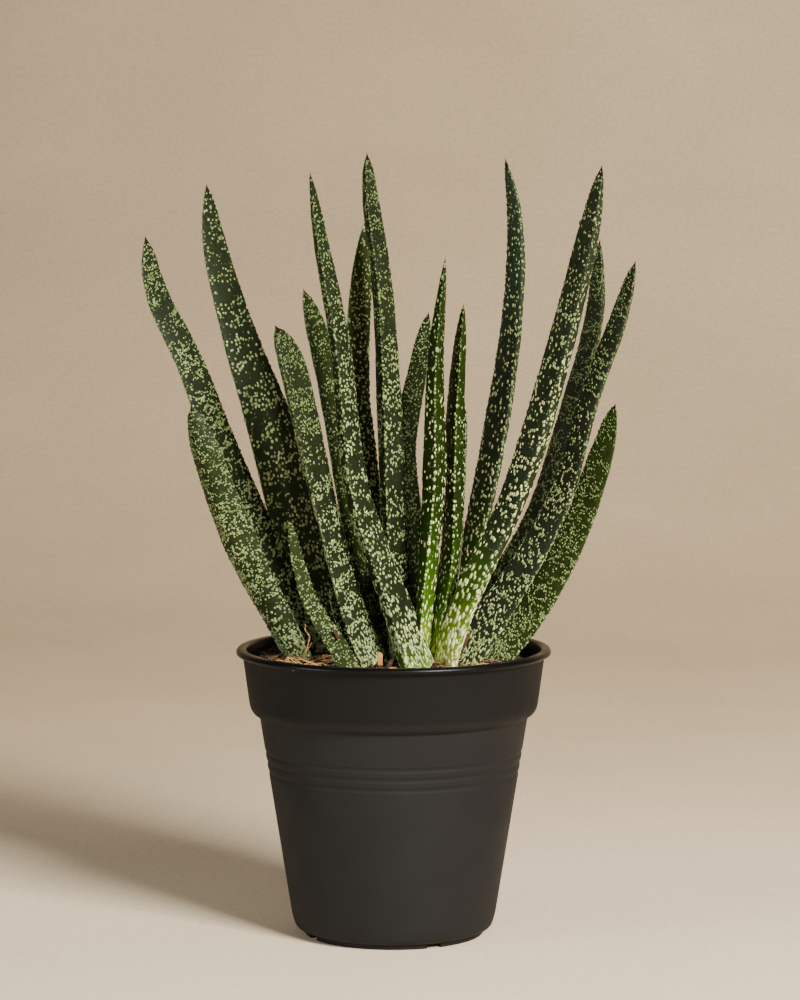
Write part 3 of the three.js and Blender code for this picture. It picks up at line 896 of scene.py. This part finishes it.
# %% A leaf's surface
class Leaf:
    """The fine surface of one leaf: a grid of points with their normals."""

    def __init__(self, node, flare=1, reach=80, lean=0):
        self.number = int(node[-2:])
        grid = fine_grid(node)
        step = np.linalg.norm(np.diff(grid.mean(axis=1), axis=0), axis=1)
        self.distance = np.concatenate([[0], np.cumsum(step)])
        self.length = self.distance[-1]
        grid = shaped(grid, self.distance, flare, reach, lean)
        self.girth = np.linalg.norm(grid - np.roll(grid, 1, axis=1), axis=2).sum(axis=1)
        self.rows, self.sides = len(grid) - 1, grid.shape[1]
        self.grid = roughened(grid, self.girth)
        self.normal = normals_of(self.grid)

    def at(self, row, side):
        """The places, normals and forward directions at rows and sides, which may lie between grid
        points and may be single numbers or arrays."""
        row, side = np.atleast_1d(row), np.atleast_1d(side)
        i = np.minimum(row.astype(int), self.rows - 1)
        j = np.floor(side).astype(int)
        a, b = (row - i)[:, None], (side - j)[:, None]
        j, k = j % self.sides, (j + 1) % self.sides

        def blend(values):
            low = values[i, j] * (1 - b) + values[i, k] * b
            return low * (1 - a) + (values[i + 1, j] * (1 - b) + values[i + 1, k] * b) * a

        return blend(self.grid), blend(self.normal), self.grid[i + 1, j] - self.grid[i, j]

    def shape(self):
        """The leaf as a closed cylinder led along the grid."""
        base, tip = self.grid[0].mean(axis=0), self.grid[-1].mean(axis=0)
        last = 0.97 * self.rows  # beyond this the rings are drawn back, to leave the tip blunt

        def place_of(turn, along, spread):
            if spread == 0:
                return base if along < 0.5 else tip
            row, side = along * self.rows, round(turn * self.sides) % self.sides
            if row > last:
                return self.at(last + (row - last) * 0.85, side)[0][0]
            return self.grid[round(row), side]

        return led_cylinder(self.sides, self.rows, place_of)


print("length of the first leaf, mm:", round(Leaf(LEAF_NODES[0]).length / MM))

# %% [markdown]
# ## Leaf skin
# The skin is very dark green, close to black in the shade, and has a soft waxy sheen. Towards the
# soil it pales, most of all on young leaves, which are bright green and then nearly cream where the
# light hasn't reached. The tip is a dry brown. The leaf's own UV map says how far along a point is,
# so these zones follow the leaf, and noise in Object coordinates breaks up their borders.

# %% Leaf skin
SHEEN = (0.48, 0.64)
DRY_TIP, DRY_TIP_COLOUR = (0.95, 0.972), (0.011, 0.0045, 0.003, 1)


def leaf_skin(name, deep, fresh, foot, foot_reach):
    """deep and fresh are the two greens of the blade. foot holds the colours from the soil up, each
    with its place, over the part of the leaf that foot_reach gives."""
    finish, tree, shader = new_finish(name, {"Specular IOR Level": 0.16, "IOR": 1.33})
    place = object_place(tree)
    along = own_map(tree)["Y"]
    cloud = grain(tree, place, 45, 4.0, 0.6)
    blade = ramp(tree, cloud, [(0.34, deep), (0.68, fresh)])
    fine = grain(tree, place, 900, 3.0)
    paler = tuple(1.35 * channel for channel in fresh)
    blade = mix(tree, remap(tree, fine, 0.42, 0.68, 0.0, 0.6), blade, (*paler, 1))
    # The foot: its border wanders with the cloud.
    sway = remap(tree, cloud, 0.3, 0.7, -0.03, 0.03, smooth=False)
    wandering = calculate(tree, "ADD", along, sway)
    foot_colour = ramp(tree, remap(tree, wandering, 0.0, foot_reach, smooth=False), foot)
    blade = mix(tree, remap(tree, wandering, foot_reach * 0.5, foot_reach, 1, 0), blade, foot_colour)
    blade = mix(tree, remap(tree, along, *DRY_TIP), blade, DRY_TIP_COLOUR)
    tree.links.new(blade, shader.inputs["Base Color"])
    gloss = grain(tree, place, 160, 3.0)
    tree.links.new(remap(tree, gloss, 0.3, 0.7, *SHEEN), shader.inputs["Roughness"])
    bumped(tree, shader, grain(tree, place, 1400, 3.0), 0.25, 0.0002)
    return finish


print("skin zones:", SHEEN, DRY_TIP)

# %% The skins
DARK = ((0.0058, 0.0085, 0.0028), (0.0125, 0.0175, 0.0065))
# GREY is painted lighter and greyer than DARK: a painted sheen on leaves whose faces get little light.
GREY = ((0.0105, 0.0135, 0.0065), (0.022, 0.027, 0.0145))
GREEN_GREY = ((0.0088, 0.0122, 0.0050), (0.0185, 0.0240, 0.0112))
# COOL is partly the leaf's own grey-green and partly painted light: lighter and cooler for a leaf that
# lies in another's shadow.
COOL = ((0.0125, 0.0205, 0.0120), (0.0285, 0.0435, 0.0255))
OLIVE = ((0.0062, 0.0098, 0.0018), (0.0130, 0.0200, 0.0035))
MID_OLIVE = ((0.0080, 0.0125, 0.0022), (0.0175, 0.0262, 0.0045))
# LIT_OLIVE is OLIVE painted lighter, as painted light, for leaves that lie in shade.
LIT_OLIVE = ((0.0105, 0.0165, 0.0030), (0.0235, 0.0345, 0.0065))
YOUNG = ((0.0065, 0.0125, 0.0015), (0.0125, 0.025, 0.002))
GREEN_FOOT, BROWN_FOOT = (0.022, 0.028, 0.008), (0.05, 0.042, 0.014)
LIME, LEAF_GREEN = (0.27, 0.37, 0.006), (0.05, 0.13, 0.0015)

# For each skin: its greens, the colours of its foot from the soil up, and how far the foot reaches.
ZONES = {
    "dark": (DARK, [(0, GREEN_FOOT), (1, DARK[1])], 0.14),
    "grey": (GREY, [(0, GREEN_FOOT), (1, GREY[1])], 0.16),
    "olive": (OLIVE, [(0, BROWN_FOOT), (1, OLIVE[1])], 0.2),
    "mid_olive": (MID_OLIVE, [(0, BROWN_FOOT), (1, MID_OLIVE[1])], 0.2),
    "lit_olive": (LIT_OLIVE, [(0, BROWN_FOOT), (1, LIT_OLIVE[1])], 0.12),
    # lit_foot paints the lower part of a dark leaf lighter, as painted light, where other leaves shade
    # it.
    "lit_foot": (DARK, [(0, (0.029, 0.043, 0.018)), (0.6, (0.020, 0.029, 0.011)), (1, DARK[1])], 0.7),
    "young": (YOUNG, [
        (0, (0.56, 0.60, 0.04)), (0.15, LIME), (0.34, LEAF_GREEN),
        (0.62, (0.018, 0.05, 0.0015)), (1, (0.0105, 0.028, 0.0015)),
    ], 0.42),
    "grey_fresh": (COOL, [
        (0, LIME), (0.3, LEAF_GREEN), (0.62, (0.026, 0.052, 0.010)), (1, COOL[1]),
    ], 0.42),
    "pale_foot": (GREEN_GREY, [
        (0, (0.78, 0.66, 0.20)), (0.11, (0.62, 0.58, 0.085)), (0.25, (0.20, 0.30, 0.006)),
        (0.55, (0.032, 0.075, 0.002)), (1, GREEN_GREY[1]),
    ], 0.3),
    "fresh_foot": (DARK, [
        (0, (0.26, 0.40, 0.05)), (0.4, (0.07, 0.14, 0.01)), (0.7, (0.016, 0.028, 0.005)), (1, DARK[1]),
    ], 0.12),
}
SKINS = {}
for kind, (greens, foot, foot_reach) in ZONES.items():
    SKINS[kind] = leaf_skin("skin_" + kind, *greens, foot, foot_reach)
print("skins:", list(SKINS))

# %% [markdown]
# ## Spots
# Each pale spot on the skin is a small wart. They crowd into bands across the leaf with bare skin
# between them, and a row of larger ones runs along each margin, which makes it rough to the touch.
# A painted pattern looks flat where the light grazes it, so every wart is a real low dome: a ball of
# twenty faces, sunk half way into the skin. Darts thrown at the leaf, evenly by area, choose the
# places: a dart counts where the band noise is high and no earlier wart is too close. Now and then
# a wart grows a second one beside it, so that some run together.

# %% The wart and its shades
SHADES = 12
WART_STRIP = strip_finish("wart_strip", [
    (0.0, (0.045, 0.07, 0.013)),
    (0.2, (0.12, 0.17, 0.04)),
    (0.5, (0.27, 0.335, 0.13)),
    (0.8, (0.56, 0.60, 0.25)),
    (1.0, (1.0, 0.97, 0.46)),
], 0.5, rim=((0.03, 0.045, 0.01), (0.42, 0.62)))
WARTS = [ball_template((i + 0.5) / SHADES) for i in range(SHADES)]
print("wart shades:", len(WARTS))

# %% Where the warts go
TIP_START, TIP_BLEND, TIP_CHANCE = 0.76, 0.08, 0.75
FOOT, WIDE_FOOT = 0.2, 0.35  # shares of the leaf's length


def near_foot(leaf, rows, reach=FOOT):
    """1 at the soil, and 0 from this share of the leaf's length on."""
    return np.clip(1 - rows / leaf.rows / reach, 0, 1)


def band_strength(leaf, row, side, pitch):
    """Wavy bands across the leaf, from about -0.5 to 0.5."""
    along = leaf.distance[row] / MM
    across = side / leaf.sides * leaf.girth[row] / MM
    wave = 0.7 * noise.noise(Vector((across * 0.13, along * 0.05, leaf.number * 5.1)))
    return noise.noise(Vector((2 * along / pitch + wave, across * 0.05, leaf.number * 7.3)))


def chances(leaf, look):
    """How likely a wart is in each cell of the leaf's grid."""
    bands = np.zeros((leaf.rows, leaf.sides))
    for i, j in np.ndindex(bands.shape):
        bands[i, j] = band_strength(leaf, i, j, look["pitch"])
    rows = np.arange(leaf.rows)[:, None]
    near_tip = np.clip((rows / leaf.rows - TIP_START) / TIP_BLEND, 0, 1)
    chance = np.clip((bands - look["bare"]) / 0.2, 0, 1) * (1 - look["stray"]) + look["stray"]
    chance = np.maximum(chance, TIP_CHANCE * near_tip)
    return chance * (1 + look["foot"][2] * near_foot(leaf, rows))


print("the foot of a leaf is its lowest", FOOT)

# %% Throw the darts
ROOM_CELL = 0.0024  # larger than the room between any two warts


def with_room(spots, radii, gaps):
    """The numbers of the spots that keep clear of every spot taken before them."""
    kept, taken = [], {}
    for n, (spot, radius, gap) in enumerate(zip(spots.tolist(), radii.tolist(), gaps.tolist())):
        x, y, z = (math.floor(value / ROOM_CELL) for value in spot)
        near = [other for dx in (-1, 0, 1) for dy in (-1, 0, 1) for dz in (-1, 0, 1)
                for other in taken.get((x + dx, y + dy, z + dz), ())]
        if all(math.dist(spot, place) > gap * (radius + size) for place, size in near):
            taken.setdefault((x, y, z), []).append((spot, radius))
            kept.append(n)
    return kept


def spot_places(leaf, look, rng):
    """Where the warts go: the row, side and radius of each."""
    along = leaf.grid[1:] - leaf.grid[:-1]
    round_ = np.roll(leaf.grid, -1, axis=1) - leaf.grid
    area = np.linalg.norm(np.cross(along, round_[:-1]), axis=2)
    weight = (area * chances(leaf, look)).ravel()
    darts = int(weight.sum() / MM ** 2 * look["crowd"])
    cells = np.searchsorted(np.cumsum(weight) / weight.sum(), rng.random(darts))
    rows = cells // leaf.sides + rng.random(darts)
    sides = cells % leaf.sides + rng.random(darts)
    grown = 1 + (look["foot"][1] - 1) * near_foot(leaf, rows, WIDE_FOOT)
    radii = look["size"] * MM * np.exp(rng.normal(0, 0.2, darts)) * grown
    gaps = look["gap"] * np.where(rng.random(darts) < 0.25, 0.7, 1.0)
    kept = with_room(leaf.at(rows, sides)[0], radii, gaps * (1 - 0.3 * near_foot(leaf, rows)))
    return rows[kept], sides[kept], radii[kept]


print("room is looked up in cells of", ROOM_CELL / MM, "mm")

# %% Chains, margins and faint warts
CHAIN_LINKS = 4
FAINT_CROWD, FAINT_SIZES = 0.09, (0.24, 0.44)
MARGIN_STEPS, MARGIN_SIZES = (1.0, 4.0), (0.32, 0.6)


def with_neighbours(leaf, rows, sides, radii, chain, rng):
    """Gives some warts a neighbour, a few times over, so that they merge into short wavy lines."""
    parts = [(rows, sides, radii)]
    heading = rng.normal(0, 0.5, len(rows)) + math.pi * (rng.random(len(rows)) < 0.5)
    row_length = leaf.length / leaf.rows
    for _ in range(CHAIN_LINKS):
        goes_on = rng.random(len(rows)) < chain
        rows, sides, radii, heading = (values[goes_on] for values in (rows, sides, radii, heading))
        heading = heading + rng.normal(0, 0.4, len(rows))
        step = radii * rng.uniform(1.15, 1.6, len(rows))
        girth = np.interp(rows, np.arange(leaf.rows + 1), leaf.girth)
        rows = np.clip(rows + step * np.sin(heading) / row_length, 0, leaf.rows - 0.01)
        sides = sides + step * np.cos(heading) / np.maximum(girth, MM) * leaf.sides
        radii = radii * rng.uniform(0.8, 1.08, len(rows))
        parts.append((rows, sides, radii))
    return [np.concatenate(values) for values in zip(*parts)]


def faint_places(leaf, rng):
    """Small warts the colour of the skin, scattered all over, which make the leaf rough."""
    area = leaf.girth * leaf.length / leaf.rows / MM ** 2
    count = int(area.sum() * FAINT_CROWD)
    rows = np.searchsorted(np.cumsum(area) / area.sum(), rng.random(count)) + rng.random(count)
    sides = rng.random(count) * leaf.sides
    return np.minimum(rows, leaf.rows - 0.01), sides, rng.uniform(*FAINT_SIZES, count) * MM


def margin_places(leaf, rng):
    """A row of bigger warts along each margin."""
    rows, sides = [], []
    for margin in (0, leaf.sides / 2):
        places = np.cumsum(rng.uniform(*MARGIN_STEPS, int(leaf.length / MM / 1.5)) * MM)
        places = places[places < leaf.length]
        rows.append(np.interp(places, leaf.distance, np.arange(leaf.rows + 1)))
        sides.append(margin + rng.uniform(-0.35, 0.35, len(places)))
    rows, sides = np.concatenate(rows), np.concatenate(sides)
    return rows, sides, rng.uniform(*MARGIN_SIZES, len(rows)) * MM


print("links in the longest chain:", CHAIN_LINKS)

# %% Stamp the warts on a leaf
MAIN, EDGE, FAINT = range(3)
HEIGHTS, EDGE_HEIGHTS = (0.14, 0.22), (0.2, 0.34)
FAINT_SHADES, EDGE_DARKER = (0.02, 0.24), 0.26
UPPER_PART, SMALLER_UP, LAST_WART = 0.4, 0.22, 0.975


def make_spots(leaf, look):
    rng = np.random.default_rng(100 + leaf.number)
    main = with_neighbours(leaf, *spot_places(leaf, look, rng), look["chain"], rng)
    groups = (main, margin_places(leaf, rng), faint_places(leaf, rng))
    kind = np.repeat((MAIN, EDGE, FAINT), [len(group[0]) for group in groups])
    rows, sides, radii = (np.concatenate(values) for values in zip(*groups))
    edge, count = kind == EDGE, len(rows)
    foot = near_foot(leaf, rows)
    high = np.clip((rows / leaf.rows - UPPER_PART) / UPPER_PART, 0, 1)
    radii = radii * (1 - SMALLER_UP * high)
    shades = look["shade"] + rng.normal(0, 0.1, count) + look["foot"][0] * foot
    shades = shades - EDGE_DARKER * edge - look["fade"] * high
    shades = np.where(kind == FAINT, rng.uniform(*FAINT_SHADES, count), shades)
    stretch = rng.uniform(0.8, 1.2, count) * look["stretch"] * (1 + 0.5 * foot) + 0.2 * edge
    heights = np.where(edge, rng.uniform(*EDGE_HEIGHTS, count), rng.uniform(*HEIGHTS, count)) * MM
    places, ups, aheads = leaf.at(rows, sides)
    stamps = []
    for n in np.flatnonzero(rows < leaf.rows * LAST_WART):
        shape = WARTS[int(min(max(shades[n], 0), 0.999) * SHADES)]
        size = (radii[n] * stretch[n], radii[n], heights[n])
        stamps.append((shape, standing(places[n], ups[n], aheads[n], size)))
    return stamped(stamps)


print("no warts beyond", LAST_WART, "of a leaf's length")

# %% [markdown]
# ## The nineteen leaves
# No two leaves of a plant look alike: old ones are dull and thickly spotted, young ones bright with
# a few pale spots. A table tells for each leaf where it differs from the usual look. A loop then
# reads each packed leaf, makes its blade and stamps its warts.

# %% How each leaf looks
# Each row gives the skin; bare, where less means more covered; the pitch of the bands and the size
# of the warts in millimetres; their shade; and then what differs from the usual. gap is the room
# between two warts for their size, crowd how many darts are thrown, stray the share that ignores the
# bands, chain how often a wart gets a neighbour, and stretch how long a wart is for its width.
# Towards the tip the warts grow darker by fade. foot is how much paler, bigger and more crowded they
# are near the soil. clasp is how much wider the leaf is there, how far up that reaches and how far
# it leans to the right, because the feet of the leaves clasp one another.
USUAL_LOOK = {
    "gap": 1, "crowd": 0.7, "stray": 0.12, "chain": 0.25, "stretch": 1.1, "fade": 0.2,
    "foot": (0, 1, 1), "clasp": (1, 80, 0),
}


def look(skin, bare, pitch, size, shade, **changes):
    own = {"skin": skin, "bare": bare, "pitch": pitch, "size": size, "shade": shade}
    return {**USUAL_LOOK, **own, **changes}


# The warts of leaf_03, leaf_08, leaf_10 and leaf_15 are partly their own pale colour and partly painted
# light: their shades are raised because they lie in shade.
LOOKS = {
    "leaf_01": look("dark", -0.14, 5, 0.44, 0.40, chain=0.6, crowd=0.8, fade=0.12, foot=(0.1, 1.35, 1),
                    clasp=(1.25, 140, 0)),
    "leaf_02": look("olive", -0.26, 4.5, 0.42, 0.36, chain=0.45, crowd=1.1, fade=0.12,
                    foot=(0.1, 1.4, 2), clasp=(1.2, 50, 2)),
    "leaf_03": look("lit_foot", -0.05, 10, 0.64, 0.56, gap=1.05, stray=0.09, fade=0.3,
                    clasp=(1.55, 150, -1.5)),
    "leaf_04": look("dark", -0.16, 7, 0.46, 0.42, chain=0.4, crowd=0.9, fade=0.3, foot=(0.1, 1.3, 1),
                    clasp=(1.35, 150, -3.5)),
    "leaf_05": look("mid_olive", -0.3, 6, 0.38, 0.3, gap=0.95, crowd=1, stray=0.3, chain=0.3, fade=0),
    "leaf_06": look("olive", -0.1, 8, 0.42, 0.2, crowd=0.9, stray=0.15, chain=0.3, fade=0),
    "leaf_07": look("fresh_foot", -0.1, 9, 0.56, 0.48, crowd=0.52, stray=0.15, chain=0.35, fade=0.26,
                    foot=(0.15, 1.35, 0.4), clasp=(1.35, 45, 1)),
    "leaf_08": look("lit_olive", -0.24, 8, 0.48, 0.56, crowd=1.15, stray=0.35, fade=0.1),
    "leaf_09": look("dark", -0.05, 9, 0.54, 0.4, crowd=0.6, chain=0.35, fade=0.26,
                    clasp=(1.35, 130, 0)),
    "leaf_10": look("lit_olive", -0.12, 9, 0.56, 0.58, crowd=0.6, stray=0.2, chain=0.3,
                    clasp=(1.7, 110, 1)),
    "leaf_11": look("lit_olive", -0.16, 8, 0.46, 0.4, crowd=1.1, stray=0.3, fade=0.05,
                    clasp=(2.1, 125, 3)),
    "leaf_12": look("young", 0, 10, 0.6, 0.85, gap=1.5, crowd=0.17, stray=0.4, chain=0.12, stretch=1.35,
                    fade=0.48, foot=(0.1, 1.5, 1), clasp=(2.1, 75, 0)),
    "leaf_13": look("young", 0, 10, 0.53, 0.8, gap=1.5, crowd=0.19, stray=0.4, chain=0.12, stretch=1.35,
                    fade=0.4, foot=(0.2, 1.5, 1), clasp=(2, 75, 0)),
    "leaf_14": look("fresh_foot", -0.24, 7, 0.6, 0.62, gap=0.95, crowd=1.2, stray=0.45, chain=0.3,
                    stretch=1.25, foot=(0, 1, 0.6), clasp=(1.3, 80, 0)),
    "leaf_15": look("grey_fresh", -0.1, 8, 0.6, 0.7, gap=1.25, crowd=0.27, stray=0.5, chain=0.2,
                    stretch=1.3, fade=0.3),
    "leaf_16": look("pale_foot", -0.1, 8, 0.68, 0.72, gap=1.2, crowd=0.29, stray=0.4, chain=0.3,
                    fade=0.42, foot=(0.28, 2, 0.3), clasp=(1.45, 60, 0)),
    "leaf_17": look("grey", -0.04, 6, 0.46, 0.36, stray=0.15, chain=0.4, clasp=(1.6, 130, -2.5)),
    "leaf_18": look("grey", -0.07, 7, 0.54, 0.44, crowd=0.6, stray=0.15, chain=0.35, fade=0.3,
                    foot=(0.1, 1.25, 1), clasp=(1.7, 100, -4)),
    "leaf_19": look("lit_olive", -0.15, 6, 0.42, 0.27, crowd=0.9, stray=0.2, chain=0.4, fade=0.1,
                    foot=(0, 1.3, 1), clasp=(1.6, 130, -3.5)),
}
print("looks:", len(LOOKS))

# %% Make the leaves
for node in LEAF_NODES:
    leaf_look = LOOKS[node]
    leaf = Leaf(node, *leaf_look["clasp"])
    blade = finished(node + "_blade", leaf.shape(), SKINS[leaf_look["skin"]])
    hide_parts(node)
    spots = finished(node + "_spots", make_spots(leaf, leaf_look), WART_STRIP)
    print(node, "warts:", len(spots.data.polygons) // 20)

# %% [markdown]
# ## Roots on top of the soil
# Dry roots come up to the top of a pot-bound plant, here in a tangle at the front left with one that
# stands up and curls. A root grows round whatever it meets, so each is a thin strand that is led
# over the soil and turns a little at every step.

# %% Wandering roots
ROOT_STEPS = 7
TANGLE_CENTRE, TANGLE_SPREAD, TANGLE_ROOTS, LOOSE_ROOTS = (-0.035, -0.024), 0.005, 24, 30


def wandering_points(rng, start, heading, length, lift):
    """Points along a root that creeps over the soil and turns a little at each step."""
    points, place = [], Vector(start)
    for i in range(ROOT_STEPS + 1):
        arch = lift * math.sin(math.pi * i / ROOT_STEPS) * rng.uniform(0.5, 1.2)
        points.append((place.x, place.y, soil_level(place.x, place.y) + 0.0003 + arch))
        heading += rng.uniform(-0.55, 0.55)
        place += Vector((math.cos(heading), math.sin(heading), 0)) * (length / ROOT_STEPS)
        if place.xy.length > SOIL_RADIUS * 0.97:
            heading += math.pi / 2
            place.xy *= 0.95
    return points


def gather(name, parts, finish):
    """Puts several bmeshes into one piece."""
    whole = bmesh.new()
    whole.loops.layers.uv.new(BAKE_MAP)
    for part in parts:
        mesh = as_mesh("part", part)
        whole.from_mesh(mesh)
        bpy.data.meshes.remove(mesh)
    return finished(name, whole, finish)


def make_tangle():
    rng = random.Random(5)
    strands = []
    for _ in range(TANGLE_ROOTS):
        start = [middle + rng.gauss(0, TANGLE_SPREAD) for middle in TANGLE_CENTRE] + [0]
        heading = rng.uniform(-0.5, 0.7) + rng.choice((0, math.pi))
        length, lift = rng.uniform(0.009, 0.021), rng.uniform(0.0006, 0.0034)
        points = wandering_points(rng, start, heading, length, lift)
        strands.append(strand(points, rng.uniform(0.2, 0.36) * MM, 0.5, 6, 16))
    for _ in range(LOOSE_ROOTS):
        turn, reach = rng.uniform(0, 2 * math.pi), rng.uniform(0.2, 0.92) * SOIL_RADIUS
        start = [reach * math.cos(turn), reach * math.sin(turn), 0]
        heading, length, lift = rng.uniform(0, 6.28), rng.uniform(0.008, 0.02), rng.uniform(0, 0.001)
        points = wandering_points(rng, start, heading, length, lift)
        strands.append(strand(points, rng.uniform(0.14, 0.26) * MM, 0.5, 5, 14))
    return gather("surface_roots", strands, ROOT)


tangle = make_tangle()
print("surface root faces:", len(tangle.data.polygons))

# %% The root that stands up
CURL = [
    (-39.0, -20.0, 106.4), (-36.2, -17.0, 107.2), (-34.4, -14.0, 108.6), (-32.9, -12.0, 110.8),
    (-32.2, -11.3, 113.2), (-31.9, -11.0, 115.6), (-33.0, -10.7, 117.2), (-33.6, -10.5, 118.4),
    (-33.3, -10.2, 119.4), (-33.7, -10.0, 120.0),
]
TWIG = [(0, 0, 0), (1.2, -0.6, 1), (1.8, -1, 2.6)]  # from the fourth point of the curl


def make_curled_root():
    points = [Vector(point) * MM for point in CURL]
    main = strand(points, 0.4 * MM, 0.6, 8, 48)
    for vert in main.verts:
        vert.co += noise.noise_vector(vert.co * 900) * 0.00008
    twig = strand([points[3] + Vector(point) * MM for point in TWIG], 0.22 * MM, 0.5, 5, 8)
    curl = gather("dry_curled_root", [main, twig], ROOT)
    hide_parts("curled_root")
    return curl


curl = make_curled_root()
print("curled root, mm:", [round(x / MM, 1) for x in curl.dimensions])

# %% [markdown]
# ## Scales and splinter
# Among the leaves lie papery brown scales, the last of old leaves. Each is a flat cylinder led along
# a short curve, cupped across and crumpled by noise. One bright splinter of bark sticks up from the
# soil at the front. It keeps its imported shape, with rounded edges and a torn surface. The
# rootstock can't be seen in the soil, so it gets no more than a finish.

# %% Papery scales
def flake(points, width, thickness):
    """A thin scale along a curve, widest near its foot, cupped across and a little crumpled."""
    curve = curve_through([Vector(point) * MM for point in points])

    def place_of(turn, along, spread):
        here, side, front = stand_on(curve, along, 0.03, (0.25, -1, 0.1))
        half = width / 2 * MM * math.sqrt(max(1 - along ** 2.2, 0.004)) * spread
        x = math.cos(2 * math.pi * turn) * half
        y = math.sin(2 * math.pi * turn) * thickness * MM * spread
        fold = 0.25 * abs(x) + 0.0003 * noise.noise(here * 700 + side * (x * 900))
        return here + side * x + front * (y - fold)

    return led_cylinder(16, 12, place_of)


scale = gather("dry_leaf_scale", [
    flake([(-9.5, -14.8, 107.0), (-12, -15.2, 109), (-15, -15.2, 111.4)], 4.6, 0.3),
], BROWN_BARK)
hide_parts("withered_scale")
sheaths = gather("papery_sheaths", [
    flake([(22.0, -12.0, 105), (25.0, -11.5, 110), (29.0, -10.6, 117)], 3.2, 0.2),
    flake([(19.0, -16.5, 105), (22.0, -16.0, 108.5), (26.0, -15.4, 113)], 2.4, 0.2),
    flake([(-20.4, -30.2, 117.2), (-21.4, -30.8, 119.2), (-22.6, -31.2, 121.2)], 1.5, 0.2),
    flake([(-2.0, -24.0, 105), (-1.4, -24.4, 107), (0.0, -24.4, 109)], 2.2, 0.2),
    flake([(32.0, 14.0, 104), (33.0, 15.5, 107.5), (35.5, 17.0, 110.5)], 5.0, 0.25),
    flake([(-14.0, 26.0, 104), (-15.0, 27.5, 107.0), (-17.5, 28.5, 109.5)], 5.0, 0.25),
], BROWN_BARK)
print("scale faces:", len(scale.data.polygons), "other scales:", len(sheaths.data.polygons))


# %% Splinter and rootstock
def make_splinter():
    bm = bmesh.new()
    bm.from_mesh(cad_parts["bark_splinter"].data)
    bmesh.ops.remove_doubles(bm, verts=bm.verts, dist=1e-6)
    bmesh.ops.dissolve_limit(bm, angle_limit=0.02, verts=bm.verts, edges=bm.edges)
    bmesh.ops.bevel(bm, geom=bm.edges[:], offset=0.18 * MM, offset_type="OFFSET", affect="EDGES",
                    segments=2, profile=0.5, material=-1)
    bmesh.ops.triangulate(bm, faces=bm.faces)
    bmesh.ops.subdivide_edges(bm, edges=bm.edges, cuts=2)
    for vert in bm.verts:
        vert.co += noise.noise_vector(vert.co * 1400) * 0.00016
    splinter = finished("orange_splinter", bm, BARK)
    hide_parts("bark_splinter")
    return splinter


splinter = make_splinter()
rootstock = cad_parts["rootstock"].data
rootstock.materials.clear()
rootstock.materials.append(ROOT)
print("splinter faces:", len(splinter.data.polygons))
